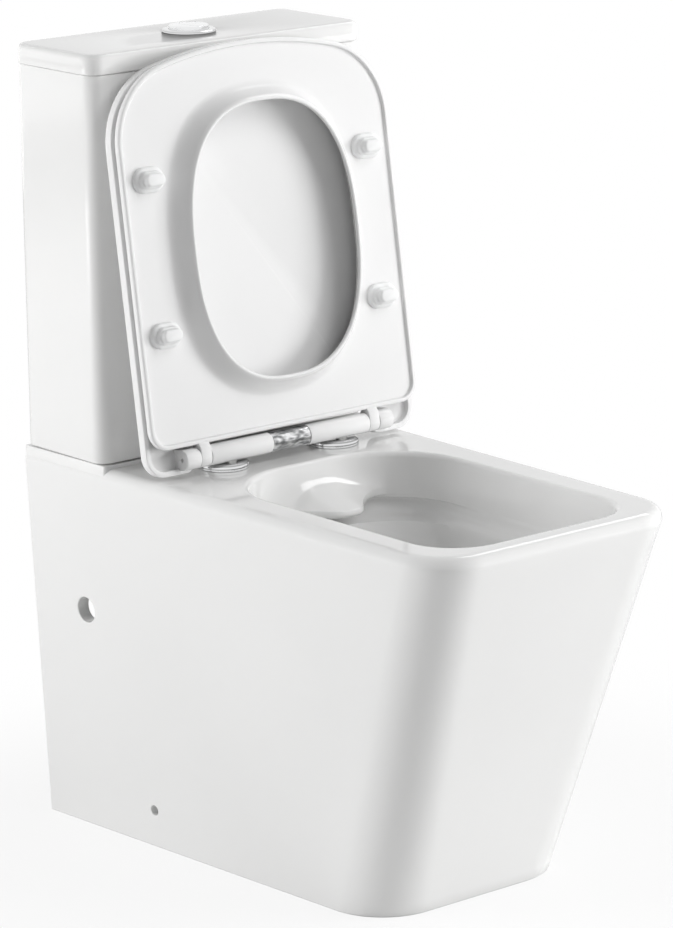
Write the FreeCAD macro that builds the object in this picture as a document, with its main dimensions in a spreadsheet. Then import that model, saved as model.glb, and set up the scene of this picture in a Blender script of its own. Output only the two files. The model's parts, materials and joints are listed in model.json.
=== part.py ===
import FreeCAD, Part
import math
import os
import re
import Sketcher

# Driving sizes in millimetres and degrees: name, value, what it measures.
# Places along the suite are taken from the wall, heights from the floor.
SIZES = (
    # Pan outside
    ("pan_length", 653, "wall to the front of the rim"),
    ("deck_height", 411, "floor to the rim"),
    ("suite_width", 363, "rim at the wall, which tank, seat and lid keep to"),
    ("rim_taper", 33, "narrowing of the rim to its front corners"),
    ("rim_corner_radius", 58, "front corners of the rim"),
    ("rim_edge_radius", 12, "rounding of the outer rim edge"),
    ("foot_setback", 132, "front of the foot behind the front of the rim"),
    ("foot_inset", 20.5, "foot inside the rim at each side"),
    ("foot_taper", 55, "narrowing of the foot to its front corners"),
    ("floor_corner_radius", 67, "front corners of the foot"),
    ("skirt_wall", 14, "china of the skirt"),
    ("deck_thickness", 20, "china of the deck"),
    ("platform_height", 4, "seat of the tank above the rim"),
    ("platform_inset", 1, "platform edge inside the rim edge"),
    # Bowl
    ("rim_band", 47.5, "rim beside the bowl"),
    ("bowl_rear", 254, "wall to the rear edge of the bowl"),
    ("front_rim", 22, "rim in front of the bowl"),
    ("bowl_front_radius", 46, "front corners of the bowl"),
    ("bowl_draft", 8, "lean of the upper wall down to the shelf"),
    ("bowl_wall", 12, "china of the bowl"),
    ("shelf_depth", 60, "rim to the water shelf"),
    ("shelf_width", 10, "water shelf"),
    ("bowl_mid_height", 250, "middle section of the bowl"),
    ("bowl_mid_width", 168, "middle section of the bowl"),
    ("bowl_mid_radius", 64, "corners of the middle section"),
    ("bowl_low_height", 140, "lower section of the bowl"),
    ("bowl_low_width", 104, "lower section of the bowl"),
    ("bowl_low_radius", 42, "corners of the lower section"),
    ("sump_height", 52, "floor to the bottom of the sump"),
    ("sump_width", 80, "bottom of the sump"),
    ("sump_radius", 26, "corners of the sump"),
    # Flush tongue and the duct that feeds it
    ("tongue_reach", 83, "rear edge of the bowl to the lip"),
    ("tongue_drop", 37, "fall of the tongue to its lip"),
    ("tongue_lip", 8, "thickness of the lip"),
    ("tongue_width", 64, "lip of the tongue"),
    ("tongue_waist", 92, "tongue where its sides flare"),
    ("tongue_root", 200, "tongue at the bowl wall"),
    ("tongue_shoulder", 26, "bowl edge to the shoulders of the tongue"),
    ("tongue_flare", 34, "bowl edge to the waist of the tongue"),
    ("tongue_radius", 20, "corners of the tongue"),
    ("duct_width", 74, "duct under the deck, outside"),
    ("duct_height", 54, "duct below the deck"),
    ("duct_wall", 10, "china of the duct"),
    ("duct_roof", 19, "deck underside to the channel"),
    ("duct_start", 18, "wall to the closed end of the duct"),
    ("channel_width", 52, "water channel in the duct"),
    # Trap
    ("trap_bore", 80, "inside of the trap"),
    ("trap_outside", 102, "outlet spigot"),
    ("trap_start", 345, "wall to the mouth of the trap"),
    ("trap_start_height", 92, "centre of the mouth"),
    ("trap_heel", 275, "wall to the heel of the trap"),
    ("trap_crown", 200, "wall to the crown of the trap"),
    ("trap_crown_height", 262, "where the legs of the trap would meet"),
    ("trap_fall", 120, "wall to the foot of the falling leg"),
    ("outlet_height", 178, "centre of the outlet"),
    ("outlet_gap", 22, "outlet end to the wall"),
    ("heel_radius", 60, "bend at the heel"),
    ("crown_radius", 55, "bends at the crown and outlet"),
    # Holes in the pan
    ("service_hole", 28, "access holes in the sides"),
    ("service_rear", 88, "wall to the access holes"),
    ("service_height", 248, "centre of the access holes"),
    ("fixing_hole", 11, "floor fixing holes in the sides"),
    ("fixing_rear", 178, "wall to the floor fixing holes"),
    ("fixing_height", 42, "centre of the floor fixing holes"),
    ("inlet_hole", 62, "flush inlet in the deck"),
    ("recess_width", 97, "gasket recess in the platform"),
    ("recess_depth", 15, "gasket recess in the platform"),
    # The casting is parted into simple pieces
    ("parting_gap", 10, "parting faces to the duct, bowl and trap"),
    ("core_gap", 1, "parting face to the inside of the skirt"),
    # Tank
    ("tank_inset", 0.5, "tank inside the rim at each side"),
    ("tank_depth", 136, "tank outside"),
    ("tank_height", 410, "tank without its lid"),
    ("tank_gap", 1.6, "seam between platform and tank"),
    ("tank_wall", 9, "china of the walls"),
    ("tank_floor", 12, "china of the floor"),
    ("tank_corner_radius", 16, "upright corners"),
    ("tank_edge_radius", 1.5, "rims of the tank"),
    ("valve_rear", 68, "wall to the line of the valves"),
    # Tank lid
    ("cover_overhang", 1, "lid beyond the tank at the sides"),
    ("cover_nose", 2, "lid beyond the tank at the front"),
    ("cover_height", 21, "lid outside"),
    ("cover_plate", 11, "china of the lid top"),
    ("cover_edge_radius", 6, "rounding of the lid top"),
    ("rib_depth", 7, "locating rib inside the tank"),
    ("rib_wall", 5, "locating rib"),
    ("rib_gap", 2, "rib to the tank wall"),
    ("rest_gap", 0.3, "loose pieces to what they rest on"),
    # Flush buttons
    ("bezel_width", 58, "flange of the bezel"),
    ("bezel_rise", 3.2, "flange of the bezel"),
    ("bezel_chamfer", 1.4, "edge of the flange"),
    ("bezel_tube", 45.6, "threaded tube of the bezel"),
    ("bezel_length", 27, "threaded tube below the lid top"),
    ("bezel_bore", 43.2, "inside of the bezel"),
    ("bezel_hole_gap", 0.5, "bezel tube in the lid"),
    ("bezel_nut_width", 64, "nut under the lid"),
    ("bezel_nut_height", 8, "nut under the lid"),
    ("thread_gap", 0.1, "nuts on their threads"),
    ("button_gap", 0.4, "buttons in the bezel and to each other"),
    ("button_rise", 7.2, "buttons above the lid top"),
    ("button_depth", 7, "buttons below the lid top"),
    ("split_radius", 26, "arc between the two buttons"),
    ("split_shift", 20, "centre of that arc from the middle"),
    ("rod_width", 8, "push rods"),
    ("half_rod_shift", 13, "half-flush rod from the middle"),
    ("full_rod_shift", 9, "full-flush rod from the middle"),
    ("rod_end", 236, "tank floor to the rod ends"),
    # Flush valve, heights from the tank floor
    ("tail_width", 58, "threaded tail"),
    ("tail_length", 20, "tail below the tank"),
    ("tail_bore", 48, "outlet of the valve"),
    ("tail_hole_gap", 1, "tail in the tank floor"),
    ("valve_flange", 80, "flange on the tank floor"),
    ("valve_flange_height", 5, "flange on the tank floor"),
    ("valve_seat_height", 8, "seat of the seal"),
    ("cage_width", 72, "valve cage"),
    ("cage_height", 60, "top of the cage"),
    ("cage_wall", 4, "plastic of the valve"),
    ("window_width", 30, "windows of the cage"),
    ("window_bottom", 12, "windows of the cage"),
    ("window_top", 50, "windows of the cage"),
    ("tower_width", 60, "valve tower"),
    ("tower_height", 250, "top of the tower"),
    ("cap_height", 6, "cap of the tower"),
    ("rod_gap", 0.4, "rods in the cap"),
    ("valve_nut_width", 76, "nut under the tank"),
    ("valve_nut_height", 10, "nut under the tank"),
    ("piston_disc", 58, "disc of the piston"),
    ("piston_disc_height", 6, "disc of the piston"),
    ("piston_tube", 28, "overflow tube of the piston"),
    ("piston_bore", 22, "overflow tube of the piston"),
    ("piston_top", 190, "top of the overflow tube"),
    ("guide_bottom", 120, "guide collar"),
    ("guide_height", 12, "guide collar"),
    ("guide_play", 0.4, "guide collar in the tower"),
    ("seal_width", 56, "seal ring"),
    ("seal_height", 2.5, "seal ring"),
    # Gasket between tank and pan
    ("gasket_bore", 80, "ring gasket"),
    ("gasket_gap", 0.5, "gasket in its recess"),
    # Fill valve, heights from the tank floor
    ("fill_inset", 56, "side of the tank to the fill valve"),
    ("shank_width", 24, "threaded shank"),
    ("shank_length", 18, "shank below the tank"),
    ("inlet_width", 20.4, "threaded tail for the supply hose"),
    ("inlet_length", 28, "tail below the shank"),
    ("shank_hole_gap", 0.8, "shank in the tank floor"),
    ("fill_washer_height", 3, "washer on the tank floor"),
    ("fill_flange", 44, "flange on the washer"),
    ("fill_flange_height", 4, "flange on the washer"),
    ("riser_width", 28, "riser of the fill valve"),
    ("riser_top", 300, "top of the riser"),
    ("head_width", 48, "head of the fill valve"),
    ("head_height", 44, "head of the fill valve"),
    ("float_rest", 150, "collar that stops the float"),
    ("float_collar", 36, "collar that stops the float"),
    ("float_collar_height", 5, "collar that stops the float"),
    ("float_width", 66, "float"),
    ("float_height", 76, "float"),
    ("float_gap", 0.6, "float on the riser"),
    ("fill_nut_width", 36, "nut under the tank"),
    ("fill_nut_height", 9, "nut under the tank"),
    ("fill_clear_hole", 48, "deck hole round the nut"),
    # Tank bolts
    ("bolt_width", 8, "tank bolts"),
    ("bolt_head", 18, "heads of the tank bolts"),
    ("bolt_head_height", 6, "heads of the tank bolts"),
    ("bolt_hole_gap", 1.5, "bolts in the tank floor"),
    ("bolt_washer", 30, "rubber washers"),
    ("bolt_washer_height", 4, "rubber washers"),
    ("bolt_nut_width", 32, "wing nuts"),
    ("bolt_nut_height", 12, "wing nuts"),
    ("bolt_end", 8, "bolt below its nut"),
    ("wing_length", 48, "wing nuts across the wings"),
    ("wing_width", 7, "wings"),
    ("wing_height", 8, "wings"),
    # Seat hinge
    ("hinge_rear", 221, "wall to the hinge axis"),
    ("hinge_rise", 20, "rim to the hinge axis"),
    ("post_inset", 32, "bar ends to the hinge posts"),
    ("rosette_width", 54, "rosettes"),
    ("rosette_height", 8, "rosettes"),
    ("rosette_chamfer", 2.5, "edge of the rosettes"),
    ("rosette_gap", 0.3, "rosettes on the posts"),
    ("rosette_shift", 13, "posts to the middle of the rosettes"),
    ("post_flange", 22, "flanges of the posts"),
    ("post_flange_height", 4.5, "flanges of the posts"),
    ("post_width", 12, "posts in the bar"),
    ("post_above_axis", 3, "top of the posts over the axis"),
    ("post_gap", 0.3, "posts in the bar"),
    ("stud_width", 8, "studs of the posts"),
    ("stud_length", 48, "studs below the rim"),
    ("hinge_hole", 13.4, "deck holes of the hinge"),
    ("bush_gap", 0.2, "bushes on the studs and in the deck"),
    ("bush_head", 28, "heads of the bushes"),
    ("bush_head_height", 4, "heads of the bushes"),
    ("bush_top", 3, "rim to the top of the bushes"),
    ("hinge_nut_width", 26, "nuts of the hinge"),
    ("hinge_nut_height", 14, "nuts of the hinge"),
    ("bar_width", 22, "hinge bar"),
    ("hinge_inset", 73, "side of the seat to the bar ends"),
    ("core_width", 10, "core behind the release button"),
    ("button_length", 50, "release button"),
    ("button_end_gap", 0.4, "release button in the bar"),
    ("button_core_gap", 0.2, "release button on the core"),
    ("button_travel", 3, "release button"),
    ("button_slack", 0.3, "release button past its travel"),
    ("damper_width", 15, "dampers"),
    ("damper_length", 23, "dampers"),
    ("damper_gap", 0.1, "dampers in the bar"),
    ("pin_width", 9, "hinge pins"),
    ("pin_gap", 0.3, "pins in the ears and lugs"),
    ("pin_seat", 15, "pins in the dampers"),
    ("ear_gap", 0.5, "between bar, ears and lugs"),
    ("ear_width", 13.5, "ears of the seat"),
    ("lug_width", 18.5, "lugs of the lid"),
    ("lug_end_wall", 3, "end walls of the lugs"),
    ("lug_end_hole", 4.4, "small holes in the lug ends"),
    ("ear_radius", 11, "ears and lugs round the axis"),
    # Seat, lying shut about the hinge axis
    ("lean_angle", 8.4, "raised seat past upright"),
    ("seat_inset", 1.5, "seat inside the rim at each side"),
    ("seat_setback", 10, "front of the seat behind the front of the rim"),
    ("seat_rear", 14, "axis to the rear edge of the seat"),
    ("seat_drop", 7, "axis to the underside"),
    ("seat_thickness", 9, "seat"),
    ("seat_front_angle", 13, "slope of the front at its corners"),
    ("seat_rear_radius", 22, "rear corners"),
    ("seat_top_radius", 3.5, "upper edge"),
    ("seat_low_radius", 2.5, "lower edge"),
    ("seat_lip", 5, "lip round the underside"),
    ("seat_recess", 3.5, "underside within the lip"),
    ("seat_band", 68, "seat beside its opening"),
    ("opening_rear", 70, "axis to the opening"),
    ("seat_front_band", 64, "seat in front of its opening"),
    ("collar_height", 19, "collar round the opening"),
    ("collar_base", 14.5, "collar where it leaves the underside"),
    ("collar_lip", 3, "edge of the collar"),
    ("ear_root", 26, "axis to the root of the ears"),
    # Bumpers
    ("bumper_gap", 0.5, "collar to the seat bumpers"),
    ("bumper_rear", 132, "axis to the rear bumpers"),
    ("bumper_front", 129, "front of the seat to the front bumpers"),
    ("bumper_length", 38, "seat bumpers at the base"),
    ("bumper_width", 27, "seat bumpers at the base"),
    ("bumper_draft", 3.2, "taper of the bumpers"),
    ("lid_bumper_width", 12, "lid bumpers"),
    ("lid_bumper_front", 92, "front of the seat to the lid bumpers"),
    # Lid, lying shut about the hinge axis
    ("lid_overhang", 1, "lid beyond the seat at each side"),
    ("lid_tail", 15, "lid behind the axis"),
    ("lid_gap", 3, "between seat and lid"),
    ("lid_thickness", 13, "lid"),
    ("lid_top_radius", 5, "upper edge"),
    ("lid_tail_radius", 24, "rear corners"),
    ("lid_notch_edge", 15, "axis to the edge over the bar"),
    ("lid_border", 14, "solid border round the hollow underside"),
    ("lid_hollow", 7, "hollow of the underside"),
    ("recess_wall", 6, "walls round the recesses beside the lugs"),
    ("recess_front", 20, "axis to the front of those recesses"),
    ("recess_roof", 4, "lid over those recesses"),
    # Cuts run this far past the faces that they open
    ("overrun", 5, "all cuts"),
)
NAMES = {name for name, _, _ in SIZES}

# Sections of the rounded rim edge, in degrees from its outer face
ROUNDING_ANGLES = (0, 30, 60, 90)

# Two heights this near are one height
CLOSE = 1e-4

# Roundings and lengths as shares of the form that they belong to
BOWL_ROUND_SHARE = 0.354
MID_SHARES = (0.133, 0.276)
LOW_SHARES = (0.159, 0.515)
SUMP_SHARES = (0.18, 0.615)
FRONT_ROUND_SHARE = 1.361
CORNER_ROUND_SHARE = 0.236
OPENING_ROUND_SHARE = 0.94

BACK = "pan_length / 2"
RIM_FRONT_WIDTH = "(suite_width - rim_taper)"
FOOT_REAR_WIDTH = "(suite_width - 2 * foot_inset)"
FOOT_FRONT_WIDTH = f"({FOOT_REAR_WIDTH} - foot_taper)"
BOWL_WIDTH = "(suite_width - 2 * rim_band)"
BOWL_LENGTH = "(pan_length - bowl_rear - front_rim)"
BOWL_ROUND = f"({BOWL_WIDTH} * {BOWL_ROUND_SHARE})"
DECK_UNDER = "(deck_height - deck_thickness)"
TANK_WIDTH = "(suite_width - 2 * tank_inset)"
FILL_SHIFT = f"({TANK_WIDTH} / 2 - fill_inset)"
BOLT_SHIFT = f"((valve_flange / 2 + {FILL_SHIFT} - fill_flange / 2) / 2)"
TANK_BASE = "(deck_height + platform_height + tank_gap)"
TANK_INSIDE = f"({TANK_BASE} + tank_floor)"
COVER_BASE = f"({TANK_BASE} + tank_height + rest_gap)"
COVER_TOP = f"({COVER_BASE} + cover_height)"
VALVE_LINE = f"({BACK} - valve_rear)"
AXIS_LINE = f"({BACK} - hinge_rear)"
AXIS_HEIGHT = "(deck_height + hinge_rise)"
SEAT_WIDTH = "(suite_width - 2 * seat_inset)"
SEAT_REACH = "(pan_length - hinge_rear - seat_setback)"
FRONT_ROUND = f"({SEAT_WIDTH} * {FRONT_ROUND_SHARE})"
CORNER_ROUND = f"({SEAT_WIDTH} * {CORNER_ROUND_SHARE})"
OPENING_HALF = f"({SEAT_WIDTH} / 2 - seat_band)"
OPENING_END = f"({SEAT_REACH} - seat_front_band)"
OPENING_ROUND = f"(min({OPENING_HALF}; ({OPENING_END} - opening_rear) / 2) * {OPENING_ROUND_SHARE})"
BUMPER_SHIFT = f"({OPENING_HALF} + collar_base + bumper_gap + bumper_length / 2)"
LID_WIDTH = f"({SEAT_WIDTH} + 2 * lid_overhang)"
BAR_LENGTH = f"({SEAT_WIDTH} - 2 * hinge_inset)"
POST_SHIFT = f"({BAR_LENGTH} / 2 - post_inset)"
EAR_INNER = f"({BAR_LENGTH} / 2 + ear_gap)"
EAR_OUTER = f"({EAR_INNER} + ear_width)"
LUG_INNER = f"({EAR_OUTER} + ear_gap)"
LUG_OUTER = f"({LUG_INNER} + lug_width)"
SEAT_TOP = "(seat_thickness - seat_drop)"
SEAT_FLAT = "(seat_recess - seat_drop)"
LID_UNDER = f"({SEAT_TOP} + lid_gap)"
LID_TOP = f"({LID_UNDER} + lid_thickness)"

# Roundings that leave a sliver of flat between them
NEARLY_ALL_SHARE = 0.96

doc = FreeCAD.newDocument("toilet")
sheet = doc.addObject("Spreadsheet::Sheet", "sizes")
for row, (name, number, meaning) in enumerate(SIZES, start=1):
    sheet.set(f"A{row}", name)
    sheet.set(f"B{row}", str(number))
    sheet.set(f"C{row}", meaning)
    sheet.setAlias(f"B{row}", name)
doc.recompute()

pieces = []


def link(text):
    """Turn a formula in plain size names into one that any object can hold."""
    return re.sub(r"[a-z_]+", lambda word: f"sizes.{word[0]}" if word[0] in NAMES else word[0], text)


def value(text):
    """Work out a formula in size names as a number."""
    return float(sheet.evalExpression(text))


def bind(thing, **formulas):
    """Tie properties of a document object to formulas in size names."""
    for prop, text in formulas.items():
        thing.setExpression(prop, link(text))


def place(thing, x="0", y="0", z="0", tilt=None):
    """Tie an object's place to formulas, with an optional turn about X in degrees."""
    if tilt is not None:
        thing.Placement = FreeCAD.Placement(FreeCAD.Vector(), FreeCAD.Rotation(FreeCAD.Vector(1, 0, 0), 1))
        thing.setExpression("Placement.Rotation.Angle", link(f"({tilt}) * 1deg"))
    for axis, text in zip("xyz", (x, y, z)):
        thing.setExpression(f"Placement.Base.{axis}", link(text))


def keep(thing, label):
    """Name a finished sub-part and list it for export."""
    thing.Label = label
    pieces.append(thing)
    return thing


def hold(sketch, constraint, formula=None):
    """Add a constraint to a sketch and tie its value to a formula."""
    index = sketch.addConstraint(constraint)
    if formula is not None:
        sketch.setExpression(f"Constraints[{index}]", link(formula))


def pin_point(sketch, geometry, end, x, y):
    """Fix a point of a sketch at two formulas."""
    for kind, text, axis in (("DistanceX", x, -2), ("DistanceY", y, -1)):
        if text == "0":
            hold(sketch, Sketcher.Constraint("PointOnObject", geometry, end, axis))
        else:
            hold(sketch, Sketcher.Constraint(kind, -1, 1, geometry, end, value(text)), text)


def round_corner(before, corner, after, radius):
    """Find where a rounding of the given radius starts, has its middle and ends."""
    to_before = (before - corner).normalize()
    to_after = (after - corner).normalize()
    half = to_before.getAngle(to_after) / 2
    inward = (to_before + to_after).normalize()
    reach = radius / math.tan(half)
    depth = radius / math.sin(half)
    return corner + to_before * reach, corner + inward * (depth - radius), corner + to_after * reach


def draw_outline(sketch, corners, closed=True):
    """Draw straight sides between corners, each (x, y) or (x, y, radius) in formulas."""
    spots = [FreeCAD.Vector(value(corner[0]), value(corner[1]), 0) for corner in corners]
    count = len(corners)
    leaves, arrives, arcs = list(spots), list(spots), {}
    for index, corner in enumerate(corners):
        if len(corner) < 3:
            continue
        first, middle, last = round_corner(
            spots[index - 1], spots[index], spots[(index + 1) % count], value(corner[2])
        )
        arrives[index], leaves[index] = first, last
        clockwise = (middle - first).cross(last - middle).z < 0
        ends = (last, first) if clockwise else (first, last)
        arcs[index] = sketch.addGeometry(Part.Arc(ends[0], middle, ends[1]), False)
    sides = {}
    for index in range(count if closed else count - 1):
        following = (index + 1) % count
        sides[index] = sketch.addGeometry(Part.LineSegment(leaves[index], arrives[following]), False)
    for index, corner in enumerate(corners):
        side_in, side_out = sides.get((index - 1) % count), sides.get(index)
        if index in arcs:
            arc = sketch.Geometry[arcs[index]]
            start_first = (arc.StartPoint - arrives[index]).Length < (arc.EndPoint - arrives[index]).Length
            near, far = (1, 2) if start_first else (2, 1)
            spot = sketch.addGeometry(Part.Point(spots[index]), True)
            pin_point(sketch, spot, 1, corner[0], corner[1])
            hold(sketch, Sketcher.Constraint("PointOnObject", spot, 1, side_in))
            hold(sketch, Sketcher.Constraint("PointOnObject", spot, 1, side_out))
            hold(sketch, Sketcher.Constraint("Tangent", side_in, 2, arcs[index], near))
            hold(sketch, Sketcher.Constraint("Tangent", arcs[index], far, side_out, 1))
            hold(sketch, Sketcher.Constraint("Radius", arcs[index], value(corner[2])), corner[2])
            continue
        if side_out is not None:
            pin_point(sketch, side_out, 1, corner[0], corner[1])
        else:
            pin_point(sketch, side_in, 2, corner[0], corner[1])
        if side_in is not None and side_out is not None:
            hold(sketch, Sketcher.Constraint("Coincident", side_in, 2, side_out, 1))


class Piece:
    """A body whose sketches and features take their sizes from the sheet."""

    def __init__(self, label, kept=True):
        self.label = label
        self.body = doc.addObject("PartDesign::Body", label)
        if kept:
            keep(self.body, label)

    def sketch(self, plane="XY", level="0", tilt=None, along="0"):
        """Start a sketch on an origin plane, raised along its normal or tilted about X."""
        sketch = self.body.newObject("Sketcher::SketchObject", f"{self.label}_sketch")
        origin = [part for part in self.body.Origin.OriginFeatures if part.Role == f"{plane}_Plane"][0]
        sketch.AttachmentSupport = (origin, [""])
        sketch.MapMode = "FlatFace"
        if tilt is not None:
            sketch.AttachmentOffset = FreeCAD.Placement(
                FreeCAD.Vector(), FreeCAD.Rotation(FreeCAD.Vector(1, 0, 0), 1)
            )
            sketch.setExpression("AttachmentOffset.Rotation.Angle", link(tilt))
        sketch.setExpression("AttachmentOffset.Base.z", link(level))
        sketch.setExpression("AttachmentOffset.Base.y", link(along))
        return sketch

    def outline(self, corners, plane="XY", level="0", closed=True, tilt=None, along="0"):
        """Sketch an outline of sides and rounded corners."""
        sketch = self.sketch(plane, level, tilt, along)
        draw_outline(sketch, corners, closed)
        return sketch

    def circles(self, spots, plane="XY", level="0"):
        """Sketch circles, each (x, y, diameter)."""
        sketch = self.sketch(plane, level)
        for x, y, width in spots:
            middle = FreeCAD.Vector(value(x), value(y), 0)
            ring = sketch.addGeometry(Part.Circle(middle, FreeCAD.Vector(0, 0, 1), value(width) / 2), False)
            pin_point(sketch, ring, 3, x, y)
            hold(sketch, Sketcher.Constraint("Diameter", ring, value(width)), width)
        return sketch

    def feature(self, kind, **settings):
        """Add a feature to the body."""
        added = self.body.newObject(f"PartDesign::{kind}", f"{self.label}_{kind}")
        for prop, setting in settings.items():
            setattr(added, prop, setting)
        return added

    def pad(self, sketch, length):
        """Raise a sketch along its normal."""
        added = self.feature("Pad", Profile=sketch)
        bind(added, Length=length)
        doc.recompute()

    def pocket(self, sketch, length=None, both=False, forward=False):
        """Cut a sketch against its normal, or forward, or right through when no length is given."""
        before = self.body.Shape.Volume
        added = self.feature("Pocket", Profile=sketch, Reversed=forward)
        added.SideType = "Symmetric" if both else "One side"
        if length is None:
            added.Type = "ThroughAll"
        else:
            bind(added, Length=length)
        doc.recompute()
        if self.body.Shape.Volume >= before:
            raise RuntimeError(f"a cut in {self.label} takes nothing away")

    def turn(self, corners, plane="XZ", axis="V_Axis"):
        """Turn a closed outline of (radius, height) corners, or (along, radius) about H_Axis."""
        sketch = self.outline(corners, plane)
        self.feature("Revolution", Profile=sketch, ReferenceAxis=(sketch, [axis]), Angle=360)
        doc.recompute()

    def loft(self, sketches, cut=False, ruled=True):
        """Join outlines by a skin, added or cut away."""
        kind = "SubtractiveLoft" if cut else "AdditiveLoft"
        self.feature(kind, Profile=sketches[0], Sections=sketches[1:], Ruled=ruled)
        doc.recompute()

    def pipe(self, profile, path, cut=False):
        """Draw a profile along a path, added or cut away."""
        kind = "SubtractivePipe" if cut else "AdditivePipe"
        self.feature(kind, Profile=profile, Spine=(path, []))
        doc.recompute()

    def fillet(self, radius, chosen):
        """Round the edges of the present shape that a test chooses."""
        base = self.body.Tip
        names = [f"Edge{n}" for n, edge in enumerate(base.Shape.Edges, start=1) if chosen(edge)]
        added = self.feature("Fillet", Base=(base, names))
        bind(added, Radius=radius)
        doc.recompute()

    def place(self, x="0", y="0", z="0", tilt=None):
        """Tie the body's place to formulas."""
        place(self.body, x, y, z, tilt)


def at_height(edge, text):
    """Tell whether an edge lies level at a height given by a formula."""
    box = edge.BoundBox
    return math.isclose(box.ZMin, value(text), abs_tol=CLOSE) and box.ZLength < CLOSE


def turned(label, corners, x="0", y="0", z="0"):
    """Make a piece turned about Z from (radius, height) corners."""
    piece = Piece(label)
    piece.turn(corners)
    piece.place(x, y, z)
    return piece


def box(name, near, far):
    """Make a block between two corners, each three formulas."""
    block = doc.addObject("Part::Box", name)
    length, width, height = (f"{end} - ({start})" for start, end in zip(near, far))
    bind(block, Length=length, Width=width, Height=height)
    place(block, *near)
    return block


def combine(label, kind, base, tool):
    """Cut a tool from a base, or keep what they have in common."""
    made = doc.addObject(f"Part::{kind}", label)
    made.Base, made.Tool = base, tool
    return made


def sides():
    """Give the two sides as a name and the sign of X."""
    return (("left", "-"), ("right", ""))


def wedge(rear_width, front_width, rear, front, radius):
    """Corners of an outline that narrows to two rounded front corners."""
    return [
        (f"{rear_width} / 2", rear),
        (f"-({rear_width}) / 2", rear),
        (f"-({front_width}) / 2", front, radius),
        (f"{front_width} / 2", front, radius),
    ]


def basin(width, rear, front, rear_radius, front_radius, grow="0"):
    """Corners of a level section of the bowl, grown outwards by a formula."""
    half = f"({width}) / 2 + {grow}"
    rear_edge = f"{BACK} - ({rear}) + {grow}"
    front_edge = f"{BACK} - pan_length + ({front}) - {grow}"
    return [
        (half, rear_edge, f"{rear_radius} + {grow}"),
        (f"-({half})", rear_edge, f"{rear_radius} + {grow}"),
        (f"-({half})", front_edge, f"{front_radius} + {grow}"),
        (half, front_edge, f"{front_radius} + {grow}"),
    ]


def slab_front(width, reach):
    """Corners of the bowed front that seat and lid share, from right to left."""
    tip = f"({reach} + {FRONT_ROUND} * (1 / cos(seat_front_angle * 1deg) - 1))"
    flank = f"-({tip} - ({width}) / 2 * tan(seat_front_angle * 1deg))"
    return [
        (f"({width}) / 2", flank, CORNER_ROUND),
        ("0", f"-{tip}", FRONT_ROUND),
        (f"-({width}) / 2", flank, CORNER_ROUND),
    ]


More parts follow.
